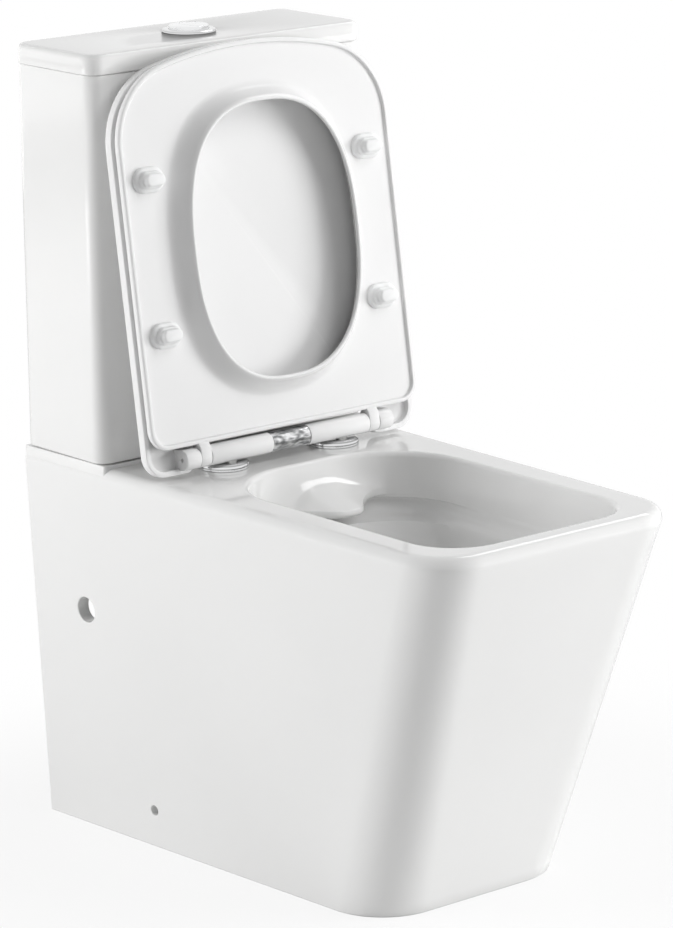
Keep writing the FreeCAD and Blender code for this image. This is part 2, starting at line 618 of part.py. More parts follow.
def build_pan():
    """One casting with skirt, rim, bowl, flush tongue, duct, trap and outlet, parted for simple shapes."""
    pan = Piece("pan_casting", kept=False)

    # The skirt widens from the foot to the brow of the rim, share by share
    def level_section(share, inset, level, rear=BACK, piece=pan):
        rear_width = f"({FOOT_REAR_WIDTH} + (suite_width - {FOOT_REAR_WIDTH}) * {share} - 2 * {inset})"
        front_width = f"({FOOT_FRONT_WIDTH} + ({RIM_FRONT_WIDTH} - {FOOT_FRONT_WIDTH}) * {share} - 2 * {inset})"
        nose = f"{BACK} - pan_length + foot_setback * (1 - {share}) + {inset}"
        radius = f"floor_corner_radius + (rim_corner_radius - floor_corner_radius) * {share} - {inset}"
        return piece.outline(wedge(rear_width, front_width, rear, nose, radius), level=level)

    brow = "(deck_height - rim_edge_radius)"
    pan.loft([level_section("0", "0", "0"), level_section("1", "0", brow)])
    rounding = []
    for angle in ROUNDING_ANGLES:
        height = f"{brow} + rim_edge_radius * sin({angle} * 1deg)"
        inset = f"(rim_edge_radius * (1 - cos({angle} * 1deg)))"
        rounding.append(level_section("1", inset, height))
    pan.loft(rounding, ruled=False)

    # The hollow under the deck is open at the floor and at the wall
    open_back = f"{BACK} + overrun"
    pan.loft([
        level_section("0", "skirt_wall", "0", open_back),
        level_section(f"({DECK_UNDER} / {brow})", "skirt_wall", DECK_UNDER, open_back),
    ], cut=True)

    # Platform under the tank
    narrowing = "rim_taper * tank_depth / pan_length"
    base = pan.outline(
        [
            ("suite_width / 2 - platform_inset", BACK),
            ("platform_inset - suite_width / 2", BACK),
            (f"platform_inset - (suite_width - {narrowing}) / 2", f"{BACK} - tank_depth"),
            (f"(suite_width - {narrowing}) / 2 - platform_inset", f"{BACK} - tank_depth"),
        ],
        level="deck_height - rim_edge_radius",
    )
    pan.pad(base, "rim_edge_radius + platform_height")

    # Bowl, trap and duct as outer forms
    shelf = "deck_height - shelf_depth"
    upper = (BOWL_WIDTH, "bowl_rear", "front_rim", BOWL_ROUND, "bowl_front_radius")
    at_shelf = (
        f"({BOWL_WIDTH} - 2 * bowl_draft)", "(bowl_rear + bowl_draft)", "(front_rim + bowl_draft)",
        BOWL_ROUND, "bowl_front_radius",
    )

    def deeper(width, shares, radius):
        rear = f"(bowl_rear + {BOWL_LENGTH} * {shares[0]})"
        return (width, rear, f"(front_rim + {BOWL_LENGTH} * {shares[1]})", radius, radius)

    lower = (
        (
            (
                f"({BOWL_WIDTH} - 2 * bowl_draft - 2 * shelf_width)", "(bowl_rear + bowl_draft + shelf_width)",
                "(front_rim + bowl_draft + shelf_width)", BOWL_ROUND, "bowl_front_radius",
            ),
            shelf,
        ),
        (deeper("bowl_mid_width", MID_SHARES, "bowl_mid_radius"), "bowl_mid_height"),
        (deeper("bowl_low_width", LOW_SHARES, "bowl_low_radius"), "bowl_low_height"),
        (deeper("sump_width", SUMP_SHARES, "sump_radius"), "sump_height"),
    )
    pan.loft([
        pan.outline(basin(*upper, "bowl_wall"), level="deck_height - deck_thickness / 2"),
        pan.outline(basin(*at_shelf, "bowl_wall"), level=f"{shelf} - bowl_wall"),
    ])
    outer = [pan.outline(basin(*section, "bowl_wall"), level=level) for section, level in lower[:-1]]
    outer.append(pan.outline(basin(*lower[-1][0], "bowl_wall"), level=f"{lower[-1][1]} - bowl_wall"))
    pan.loft(outer, ruled=False)
    duct = pan.outline(
        [
            ("duct_width / 2", f"{BACK} - duct_start"),
            ("-duct_width / 2", f"{BACK} - duct_start"),
            ("-duct_width / 2", f"{BACK} - bowl_rear"),
            ("duct_width / 2", f"{BACK} - bowl_rear"),
        ],
        level=f"{DECK_UNDER} - duct_height",
    )
    pan.pad(duct, "duct_height + deck_thickness / 2")
    trap = (
        (f"{BACK} - trap_start", "trap_start_height"),
        (f"{BACK} - trap_heel", "trap_start_height", "heel_radius"),
        (f"{BACK} - trap_crown", "trap_crown_height", "crown_radius"),
        (f"{BACK} - trap_fall", "outlet_height", "crown_radius"),
        (f"{BACK} - outlet_gap", "outlet_height"),
    )
    mouth = f"trap_start - {BACK}"
    pan.pipe(
        pan.circles([("0", "trap_start_height", "trap_outside")], plane="XZ", level=mouth),
        pan.outline(trap, plane="YZ", closed=False),
    )

    # Inside of the bowl and trap
    pan.loft([
        pan.outline(basin(*upper), level="deck_height"),
        pan.outline(basin(*at_shelf), level=shelf),
    ], cut=True)
    pan.loft([pan.outline(basin(*section), level=level) for section, level in lower], cut=True, ruled=False)
    pan.pipe(
        pan.circles([("0", "trap_start_height", "trap_bore")], plane="XZ", level=mouth),
        pan.outline(trap, plane="YZ", closed=False),
        cut=True,
    )

    # Flush tongue: a sloping apron with flared sides, hollow behind its lip
    def tongue(stretch):
        edge = f"({BACK} - bowl_rear)"
        start = edge if stretch == "1" else "0"
        half = (
            ("tongue_root / 2", start),
            ("tongue_root / 2", f"{start} - tongue_shoulder * {stretch}"),
            ("tongue_waist / 2", f"{start} - tongue_flare * {stretch}", "tongue_radius"),
            ("tongue_width / 2", f"{start} - tongue_reach * {stretch}", "tongue_radius"),
        )
        other = [(f"-{corner[0]}", *corner[1:]) for corner in reversed(half)]
        return [*half, *other]

    slope = "sqrt(tongue_reach * tongue_reach + tongue_drop * tongue_drop) / tongue_reach"
    pan.loft([
        pan.outline(tongue("1"), level="deck_height - tongue_drop - tongue_lip"),
        pan.outline(
            tongue(f"({slope})"), level="deck_height", tilt="atan(tongue_drop / tongue_reach)",
            along=f"{BACK} - bowl_rear",
        ),
    ])
    channel_end = f"{BACK} - bowl_rear - tongue_reach + tongue_lip"
    channel = pan.outline(
        [
            ("channel_width / 2", f"{BACK} - duct_start - duct_wall"),
            ("-channel_width / 2", f"{BACK} - duct_start - duct_wall"),
            ("-channel_width / 2", channel_end),
            ("channel_width / 2", channel_end),
        ],
        level=f"{DECK_UNDER} - duct_roof",
    )
    pan.pocket(channel, "duct_height - duct_roof - duct_wall")

    # Holes for the tank, the hinge, access and floor fixing
    top = "deck_height + platform_height"
    pan.pocket(pan.circles([("0", VALVE_LINE, "recess_width")], level=top), "recess_depth")
    pan.pocket(
        pan.circles([("0", VALVE_LINE, "inlet_hole")], level=top),
        "platform_height + deck_thickness + duct_roof + duct_wall / 2",
    )
    drops = [(f"-{FILL_SHIFT}", VALVE_LINE, "fill_clear_hole")]
    for sign in ("-", ""):
        drops.append((f"{sign}{BOLT_SHIFT}", VALVE_LINE, "bolt_width + 2 * bolt_hole_gap"))
        drops.append((f"{sign}{POST_SHIFT}", AXIS_LINE, "hinge_hole"))
    pan.pocket(pan.circles(drops, level=top), "platform_height + deck_thickness + overrun")
    sideways = [
        (f"{BACK} - service_rear", "service_height", "service_hole"),
        (f"{BACK} - fixing_rear", "fixing_height", "fixing_hole"),
    ]
    pan.pocket(pan.circles(sideways, plane="YZ"), "suite_width + overrun", both=True)

    # The casting is parted below the duct, before the tank platform, behind the bowl, beside the trap
    # and between bowl and skirt
    level = f"({DECK_UNDER} - duct_height - parting_gap)"
    line = f"({BACK} - bowl_rear + parting_gap)"
    beside = "(trap_outside / 2 + parting_gap)"
    outside, behind, below = "(suite_width / 2 + overrun)", f"({BACK} + overrun)", "-overrun"
    ahead = f"({BACK} - pan_length - overrun)"
    low = box("pan_low_block", (f"-{outside}", ahead, below), (outside, behind, level))
    upper = combine("pan_upper", "Cut", pan.body, low)
    step = f"({BACK} - tank_depth - core_gap)"
    rear = box("pan_ledge_block", (f"-{outside}", step, below), (outside, behind, f"{top} + overrun"))
    keep(combine("pan_rim", "Cut", upper, rear), "pan_rim")
    keep(combine("pan_ledge", "Common", upper, rear), "pan_ledge")
    front = box("pan_front_block", (f"-{outside}", ahead, below), (outside, line, level))
    front_half = combine("pan_front_half", "Common", pan.body, front)
    core = Piece("pan_core", kept=False)
    clear = "(skirt_wall + core_gap)"
    core.loft([
        level_section("0", clear, "0", open_back, core),
        level_section(f"({DECK_UNDER} / {brow})", clear, DECK_UNDER, open_back, core),
    ])
    keep(combine("pan_bowl", "Common", front_half, core.body), "pan_bowl")
    keep(combine("pan_skirt", "Cut", front_half, core.body), "pan_skirt")
    middle = box("pan_trap_block", (f"-{beside}", line, below), (beside, behind, level))
    keep(combine("pan_trap", "Common", pan.body, middle), "pan_trap")
    for side, near, far in (("left", f"-{outside}", f"-{beside}"), ("right", beside, outside)):
        block = box(f"pan_{side}_block", (near, line, below), (far, behind, level))
        keep(combine(f"pan_side_{side}", "Common", pan.body, block), f"pan_side_{side}")
    doc.recompute()


def build_tank():
    """Open china box that stands on the platform, with holes in its floor."""
    tank = Piece("tank")
    radius = "tank_corner_radius"
    half, rear, front = f"{TANK_WIDTH} / 2", BACK, f"{BACK} - tank_depth"
    box = tank.outline([
        (half, rear, radius), (f"-{half}", rear, radius), (f"-{half}", front, radius), (half, front, radius),
    ])
    tank.pad(box, "tank_height")
    tank.fillet("tank_edge_radius", lambda edge: at_height(edge, "tank_height") or at_height(edge, "0"))
    inner_half, inner = f"{TANK_WIDTH} / 2 - tank_wall", f"{radius} - tank_wall"
    well = tank.outline(
        [
            (inner_half, f"{rear} - tank_wall", inner),
            (f"-({inner_half})", f"{rear} - tank_wall", inner),
            (f"-({inner_half})", f"{front} + tank_wall", inner),
            (inner_half, f"{front} + tank_wall", inner),
        ],
        level="tank_height",
    )
    tank.pocket(well, "tank_height - tank_floor")
    holes = [
        ("0", VALVE_LINE, "tail_width + 2 * tail_hole_gap"),
        (f"-{FILL_SHIFT}", VALVE_LINE, "shank_width + 2 * shank_hole_gap"),
        (f"-{BOLT_SHIFT}", VALVE_LINE, "bolt_width + 2 * bolt_hole_gap"),
        (BOLT_SHIFT, VALVE_LINE, "bolt_width + 2 * bolt_hole_gap"),
    ]
    tank.pocket(tank.circles(holes, level="tank_floor"), "tank_floor + overrun")
    tank.place(z=TANK_BASE)


def build_cover():
    """China lid of the tank with a locating rib and the hole of the flush buttons."""
    cover = Piece("tank_lid")
    half, rear = f"{TANK_WIDTH} / 2 + cover_overhang", BACK
    front = f"{BACK} - tank_depth - cover_nose"
    radius = "tank_corner_radius + cover_overhang"
    top = cover.outline([
        (half, rear, radius), (f"-({half})", rear, radius),
        (f"-({half})", front, radius), (half, front, radius),
    ])
    cover.pad(top, "cover_height")
    cover.fillet("cover_edge_radius", lambda edge: at_height(edge, "cover_height"))
    cover.fillet("tank_edge_radius", lambda edge: at_height(edge, "0"))

    def ring(inset, *rounding):
        inner = f"{TANK_WIDTH} / 2 - {inset}"
        ends = (f"{BACK} - {inset}", f"{BACK} - tank_depth + {inset}")
        corners = [(inner, ends[0]), (f"-({inner})", ends[0]), (f"-({inner})", ends[1]), (inner, ends[1])]
        return cover.outline([(*corner, *rounding) for corner in corners], level="-rib_depth")

    cover.pad(
        ring("(tank_wall + rib_gap)", "tank_corner_radius - tank_wall - rib_gap"),
        "rib_depth + cover_plate / 2",
    )
    cover.pocket(
        ring("(tank_wall + rib_gap + rib_wall)"),
        "rib_depth + cover_height - cover_plate", forward=True,
    )
    hole = cover.circles([("0", VALVE_LINE, "bezel_tube + 2 * bezel_hole_gap")], level="cover_height")
    cover.pocket(hole, "cover_height + overrun")
    cover.place(z=COVER_BASE)


def build_buttons():
    """Bezel and nut on the tank lid, two buttons parted by an arc and their push rods."""
    spot = {"y": VALVE_LINE, "z": COVER_TOP}
    turned("button_bezel", [
        ("bezel_bore / 2", "-bezel_length"), ("bezel_tube / 2", "-bezel_length"), ("bezel_tube / 2", "0"),
        ("bezel_width / 2", "0"), ("bezel_width / 2", "bezel_rise - bezel_chamfer"),
        ("bezel_width / 2 - bezel_chamfer", "bezel_rise"), ("bezel_bore / 2", "bezel_rise"),
    ], **spot)
    inner, outer = "bezel_tube / 2 + thread_gap", "bezel_nut_width / 2"
    turned("bezel_nut", [
        (inner, "-cover_plate - bezel_nut_height"), (outer, "-cover_plate - bezel_nut_height"),
        (outer, "-cover_plate"), (inner, "-cover_plate"),
    ], **spot)

    def cylinder(name, radius, x):
        solid = doc.addObject("Part::Cylinder", name)
        bind(solid, Radius=radius, Height="button_depth + button_rise")
        place(solid, x, VALVE_LINE, f"{COVER_TOP} - button_depth")
        return solid

    for label, kind, radius in (
        ("half_button", "Part::Cut", "split_radius"),
        ("full_button", "Part::Common", "split_radius - button_gap"),
    ):
        button = keep(doc.addObject(kind, label), label)
        button.Base = cylinder(f"{label}_disc", "bezel_bore / 2 - button_gap", "0")
        button.Tool = cylinder(f"{label}_split", radius, "split_shift")
    length = f"({COVER_TOP} - button_depth - {TANK_INSIDE} - rod_end)"
    for label, shift in (("half_rod", "-half_rod_shift"), ("full_rod", "full_rod_shift")):
        rod = keep(doc.addObject("Part::Cylinder", label), label)
        bind(rod, Radius="rod_width / 2", Height=length)
        place(rod, shift, VALVE_LINE, f"{TANK_INSIDE} + rod_end")


def build_flush_valve():
    """Valve body with a windowed cage, cap, nut, lifting piston and seal."""
    spot = {"y": VALVE_LINE, "z": TANK_INSIDE}
    base = "-tank_floor - tail_length"
    body = turned("flush_valve", [
        ("tail_bore / 2", base), ("tail_width / 2", base), ("tail_width / 2", "0"),
        ("valve_flange / 2", "0"), ("valve_flange / 2", "valve_flange_height"),
        ("cage_width / 2", "valve_flange_height"), ("cage_width / 2", "cage_height"),
        ("tower_width / 2", "cage_height"), ("tower_width / 2", "tower_height"),
        ("tower_width / 2 - cage_wall", "tower_height"),
        ("tower_width / 2 - cage_wall", "cage_height - cage_wall"),
        ("cage_width / 2 - cage_wall", "cage_height - cage_wall"),
        ("cage_width / 2 - cage_wall", "valve_seat_height"), ("tail_bore / 2", "valve_seat_height"),
    ], **spot)
    window = [
        ("window_width / 2", "window_bottom"), ("-window_width / 2", "window_bottom"),
        ("-window_width / 2", "window_top"), ("window_width / 2", "window_top"),
    ]
    for plane in ("XZ", "YZ"):
        body.pocket(body.outline(window, plane=plane), "valve_flange + overrun", both=True)

    cap = turned("flush_valve_cap", [
        ("0", "tower_height"), ("tower_width / 2", "tower_height"),
        ("tower_width / 2", "tower_height + cap_height"), ("0", "tower_height + cap_height"),
    ], **spot)
    ports = [
        ("-half_rod_shift", "0", "rod_width + 2 * rod_gap"),
        ("full_rod_shift", "0", "rod_width + 2 * rod_gap"),
    ]
    cap.pocket(cap.circles(ports, level="tower_height + cap_height"), "cap_height + overrun")

    inner, outer = "tail_width / 2 + thread_gap", "valve_nut_width / 2"
    turned("flush_valve_nut", [
        (inner, "-tank_floor - valve_nut_height"), (outer, "-tank_floor - valve_nut_height"),
        (outer, "-tank_floor"), (inner, "-tank_floor"),
    ], **spot)

    seal_base = "valve_seat_height + rest_gap"
    disc = f"{seal_base} + seal_height"
    turned("flush_piston", [
        ("piston_bore / 2", disc), ("piston_disc / 2", disc),
        ("piston_disc / 2", f"{disc} + piston_disc_height"),
        ("piston_tube / 2", f"{disc} + piston_disc_height"), ("piston_tube / 2", "guide_bottom"),
        ("tower_width / 2 - cage_wall - guide_play", "guide_bottom"),
        ("tower_width / 2 - cage_wall - guide_play", "guide_bottom + guide_height"),
        ("piston_tube / 2", "guide_bottom + guide_height"), ("piston_tube / 2", "piston_top"),
        ("piston_bore / 2", "piston_top"),
    ], **spot)
    turned("flush_seal", [
        ("piston_bore / 2", seal_base), ("seal_width / 2", seal_base), ("seal_width / 2", disc),
        ("piston_bore / 2", disc),
    ], **spot)


def build_fill_valve():
    """Fill valve with its washer, nut and the float that rides on its riser."""
    spot = {"x": f"-{FILL_SHIFT}", "y": VALVE_LINE, "z": TANK_INSIDE}
    flange_top = "fill_washer_height + fill_flange_height"
    shank_end = "-tank_floor - shank_length"
    inlet_end = f"{shank_end} - inlet_length"
    turned("fill_valve", [
        ("0", inlet_end), ("inlet_width / 2", inlet_end), ("inlet_width / 2", shank_end),
        ("shank_width / 2", shank_end), ("shank_width / 2", "fill_washer_height"),
        ("fill_flange / 2", "fill_washer_height"), ("fill_flange / 2", flange_top),
        ("riser_width / 2", flange_top), ("riser_width / 2", "float_rest - float_collar_height"),
        ("float_collar / 2", "float_rest - float_collar_height"), ("float_collar / 2", "float_rest"),
        ("riser_width / 2", "float_rest"), ("riser_width / 2", "riser_top"), ("head_width / 2", "riser_top"),
        ("head_width / 2", "riser_top + head_height"), ("0", "riser_top + head_height"),
    ], **spot)
    bore = "shank_width / 2 + thread_gap"
    turned("fill_valve_washer", [
        (bore, "0"), ("fill_flange / 2", "0"), ("fill_flange / 2", "fill_washer_height"),
        (bore, "fill_washer_height"),
    ], **spot)
    turned("fill_valve_nut", [
        (bore, "-tank_floor - fill_nut_height"), ("fill_nut_width / 2", "-tank_floor - fill_nut_height"),
        ("fill_nut_width / 2", "-tank_floor"), (bore, "-tank_floor"),
    ], **spot)
    sleeve = "riser_width / 2 + float_gap"
    turned("fill_float", [
        (sleeve, "float_rest + rest_gap"), ("float_width / 2", "float_rest + rest_gap"),
        ("float_width / 2", "float_rest + rest_gap + float_height"),
        (sleeve, "float_rest + rest_gap + float_height"),
    ], **spot)


def build_tank_fixings():
    """Ring gasket and the bolts that clamp the tank to the pan."""
    turned("tank_gasket", [
        ("gasket_bore / 2", "-recess_depth"), ("recess_width / 2 - gasket_gap", "-recess_depth"),
        ("recess_width / 2 - gasket_gap", "tank_gap"), ("gasket_bore / 2", "tank_gap"),
    ], y=VALVE_LINE, z="deck_height + platform_height")
    grip = f"({TANK_INSIDE} - {DECK_UNDER})"
    bore = "bolt_width / 2 + thread_gap"
    for side, sign in sides():
        spot = {"x": f"{sign}{BOLT_SHIFT}", "y": VALVE_LINE}
        turned(f"tank_bolt_{side}", [
            ("0", f"-{grip} - bolt_nut_height - bolt_end"),
            ("bolt_width / 2", f"-{grip} - bolt_nut_height - bolt_end"),
            ("bolt_width / 2", "bolt_washer_height"), ("bolt_head / 2", "bolt_washer_height"),
            ("bolt_head / 2", "bolt_washer_height + bolt_head_height"),
            ("0", "bolt_washer_height + bolt_head_height"),
        ], z=TANK_INSIDE, **spot)
        turned(f"tank_washer_{side}", [
            (bore, "0"), ("bolt_washer / 2", "0"), ("bolt_head / 2", "bolt_washer_height"),
            (bore, "bolt_washer_height"),
        ], z=TANK_INSIDE, **spot)
        nut = turned(f"tank_nut_{side}", [
            (bore, "-bolt_nut_height"), ("bolt_head / 2", "-bolt_nut_height"),
            ("bolt_nut_width / 2", "wing_height - bolt_nut_height"), ("bolt_nut_width / 2", "0"), (bore, "0"),
        ], z=DECK_UNDER, **spot)
        for wing in ("-", ""):
            fin = nut.outline(
                [
                    ("wing_width / 2", f"{wing}(bolt_width / 2 + wing_width / 2)"),
                    ("-wing_width / 2", f"{wing}(bolt_width / 2 + wing_width / 2)"),
                    ("-wing_width / 2", f"{wing}wing_length / 2"),
                    ("wing_width / 2", f"{wing}wing_length / 2"),
                ],
                level="-bolt_nut_height",
            )
            nut.pad(fin, "wing_height")


def build_hinge():
    """Rosettes, posts, bushes and nuts on the deck, and the bar with its dampers and pins."""
    for side, sign in sides():
        spot = {"x": f"{sign}{POST_SHIFT}", "y": AXIS_LINE, "z": "deck_height"}
        hole, cup = "post_width / 2 + rosette_gap", "post_flange / 2 + rosette_gap"
        cup_top = "post_flange_height + rosette_gap"
        rosette = Piece(f"hinge_rosette_{side}")
        rosette.turn([
            ("0", "0"), ("rosette_width / 2", "0"), ("rosette_width / 2", "rosette_height - rosette_chamfer"),
            ("rosette_width / 2 - rosette_chamfer", "rosette_height"), ("0", "rosette_height"),
        ])
        through = rosette.circles([("0", "-rosette_shift", f"2 * ({hole})")], level="rosette_height")
        rosette.pocket(through, "rosette_height + overrun")
        rosette.pocket(rosette.circles([("0", "-rosette_shift", f"2 * ({cup})")]), cup_top, forward=True)
        rosette.place(x=spot["x"], y=f"{AXIS_LINE} + rosette_shift", z="deck_height")
        turned(f"hinge_post_{side}", [
            ("0", "-stud_length"), ("stud_width / 2", "-stud_length"), ("stud_width / 2", "0"),
            ("post_flange / 2", "0"), ("post_flange / 2", "post_flange_height"),
            ("post_width / 2", "post_flange_height"), ("post_width / 2", "hinge_rise + post_above_axis"),
            ("0", "hinge_rise + post_above_axis"),
        ], **spot)
        bore, sleeve = "stud_width / 2 + bush_gap", "hinge_hole / 2 - bush_gap"
        under = "-deck_thickness - bush_head_height"
        turned(f"hinge_bush_{side}", [
            (bore, under), ("bush_head / 2", under), ("bush_head / 2", "-deck_thickness"),
            (sleeve, "-deck_thickness"), (sleeve, "-bush_top"), (bore, "-bush_top"),
        ], **spot)
        thread = "stud_width / 2 + thread_gap"
        turned(f"hinge_nut_{side}", [
            (thread, f"{under} - hinge_nut_height"), ("hinge_nut_width / 2", f"{under} - hinge_nut_height"),
            ("hinge_nut_width / 2", under), (thread, under),
        ], **spot)

    half, pocket = f"{BAR_LENGTH} / 2", f"({BAR_LENGTH} / 2 - damper_length)"
    neck = "(button_length / 2 + button_end_gap)"
    socket = "damper_width / 2 + damper_gap"
    right = [
        (neck, "core_width / 2"), (neck, "bar_width / 2"), (half, "bar_width / 2"), (half, socket),
        (pocket, socket), (pocket, "0"),
    ]
    left = [(f"-{x}", radius) for x, radius in reversed(right)]
    bar = Piece("hinge_bar")
    bar.turn([*right, *left], plane="XY", axis="H_Axis")
    posts = [(f"{sign}{POST_SHIFT}", "0", "post_width + 2 * post_gap") for _, sign in sides()]
    bar.pocket(bar.circles(posts, level="post_above_axis + post_gap"))
    bar.place(y=AXIS_LINE, z=AXIS_HEIGHT)

    button = Piece("release_button")
    length = "button_length / 2"
    button.turn(
        [(f"-{length}", "0"), (f"-{length}", "bar_width / 2"), (length, "bar_width / 2"), (length, "0")],
        plane="XY", axis="H_Axis",
    )
    wall = "-(core_width / 2 + button_travel + button_slack)"
    tall = "(core_width / 2 + button_core_gap)"
    slot = button.outline(
        [
            (wall, tall), (wall, f"-{tall}"),
            ("bar_width / 2 + overrun", f"-{tall}"), ("bar_width / 2 + overrun", tall),
        ],
        plane="YZ",
    )
    button.pocket(slot, "button_length + overrun", both=True)
    button.place(y=AXIS_LINE, z=AXIS_HEIGHT)

    inner = f"({BAR_LENGTH} / 2 - pin_seat)"
    pin_end = f"({LUG_OUTER} - lug_end_wall - pin_gap)"
    for side, sign in sides():
        damper = Piece(f"damper_{side}")
        shaft = "pin_width / 2"
        damper.turn(
            [
                (f"{sign}{pocket}", "0"), (f"{sign}{pocket}", "damper_width / 2"),
                (f"{sign}{half}", "damper_width / 2"), (f"{sign}{half}", shaft),
                (f"{sign}{inner}", shaft), (f"{sign}{inner}", "0"),
            ],
            plane="XY", axis="H_Axis",
        )
        damper.place(y=AXIS_LINE, z=AXIS_HEIGHT)
        pin = Piece(f"hinge_pin_{side}")
        pin.turn(
            [
                (f"{sign}{inner}", "0"), (f"{sign}{inner}", shaft),
                (f"{sign}{pin_end}", shaft), (f"{sign}{pin_end}", "0"),
            ],
            plane="XY", axis="H_Axis",
        )
        pin.place(y=AXIS_LINE, z=AXIS_HEIGHT)


def raise_up(piece):
    """Turn a piece modelled shut about the hinge axis up to its raised place."""
    piece.place(y=AXIS_LINE, z=AXIS_HEIGHT, tilt="-(90 + lean_angle)")


def build_seat():
    """Seat ring with a lip, a collar round its opening, hinge ears and four bumpers."""
    seat = Piece("seat")
    half = f"{SEAT_WIDTH} / 2"
    outline = [
        (f"-{half}", "-seat_rear", "seat_rear_radius"), (half, "-seat_rear", "seat_rear_radius"),
        *slab_front(SEAT_WIDTH, SEAT_REACH),
    ]
    seat.pad(seat.outline(outline, level="-seat_drop"), "seat_thickness")
    seat.fillet("seat_top_radius", lambda edge: at_height(edge, SEAT_TOP))
    seat.fillet("seat_low_radius", lambda edge: at_height(edge, "-seat_drop"))
    inset = f"({half} - seat_lip)"
    field = [
        (f"-{inset}", "-seat_rear - seat_lip", "seat_rear_radius - seat_lip"),
        (inset, "-seat_rear - seat_lip", "seat_rear_radius - seat_lip"),
        *[
            (corner[0], corner[1], f"{corner[2]} - seat_lip")
            for corner in slab_front(f"{SEAT_WIDTH} - 2 * seat_lip", f"{SEAT_REACH} - seat_lip")
        ],
    ]
    seat.pocket(seat.outline(field, level="-seat_drop"), "seat_recess", forward=True)

    def opening(grow, level):
        x, near, far = f"({OPENING_HALF} + {grow})", f"{grow} - opening_rear", f"-({OPENING_END} + {grow})"
        radius = f"{OPENING_ROUND} + {grow}"
        corners = [(x, near, radius), (f"-{x}", near, radius), (f"-{x}", far, radius), (x, far, radius)]
        return seat.outline(corners, level=level)

    seat.loft([opening("collar_base", SEAT_FLAT), opening("collar_lip", f"{SEAT_FLAT} - collar_height")])
    seat.pocket(opening("0", SEAT_TOP), "seat_thickness + collar_height + overrun")
    neck = [
        ("-ear_root", SEAT_FLAT), ("0", "-ear_radius"), ("0", "ear_radius"),
        ("-ear_root", f"{SEAT_TOP} - seat_top_radius"),
    ]
    for level in (EAR_INNER, f"-{EAR_OUTER}"):
        seat.pad(seat.circles([("0", "0", "2 * ear_radius")], plane="YZ", level=level), "ear_width")
        seat.pad(seat.outline(neck, plane="YZ", level=level), "ear_width")
    bore = seat.circles([("0", "0", "pin_width + 2 * pin_gap")], plane="YZ")
    seat.pocket(bore, f"2 * {EAR_OUTER} + overrun", both=True)
    raise_up(seat)

    tall = f"({SEAT_FLAT} + hinge_rise - rest_gap)"
    for row, reach in (("rear", "bumper_rear"), ("front", f"({SEAT_REACH} - bumper_front)")):
        for side, sign in sides():
            bumper = Piece(f"seat_bumper_{row}_{side}")
            levels = (("0", SEAT_FLAT), ("bumper_draft", f"{SEAT_FLAT} - {tall}"))
            rings = []
            for draft, level in levels:
                x, y = f"(bumper_length / 2 - {draft})", f"(bumper_width / 2 - {draft})"
                middle = f"{sign}{BUMPER_SHIFT}"
                corners = [
                    (f"{middle} + {x}", f"-{reach} + {y}"), (f"{middle} - {x}", f"-{reach} + {y}"),
                    (f"{middle} - {x}", f"-{reach} - {y}"), (f"{middle} + {x}", f"-{reach} - {y}"),
                ]
                rounded = [(*corner, f"{y} * {NEARLY_ALL_SHARE}") for corner in corners]
                rings.append(bumper.outline(rounded, level=level))
            bumper.loft(rings)
            raise_up(bumper)


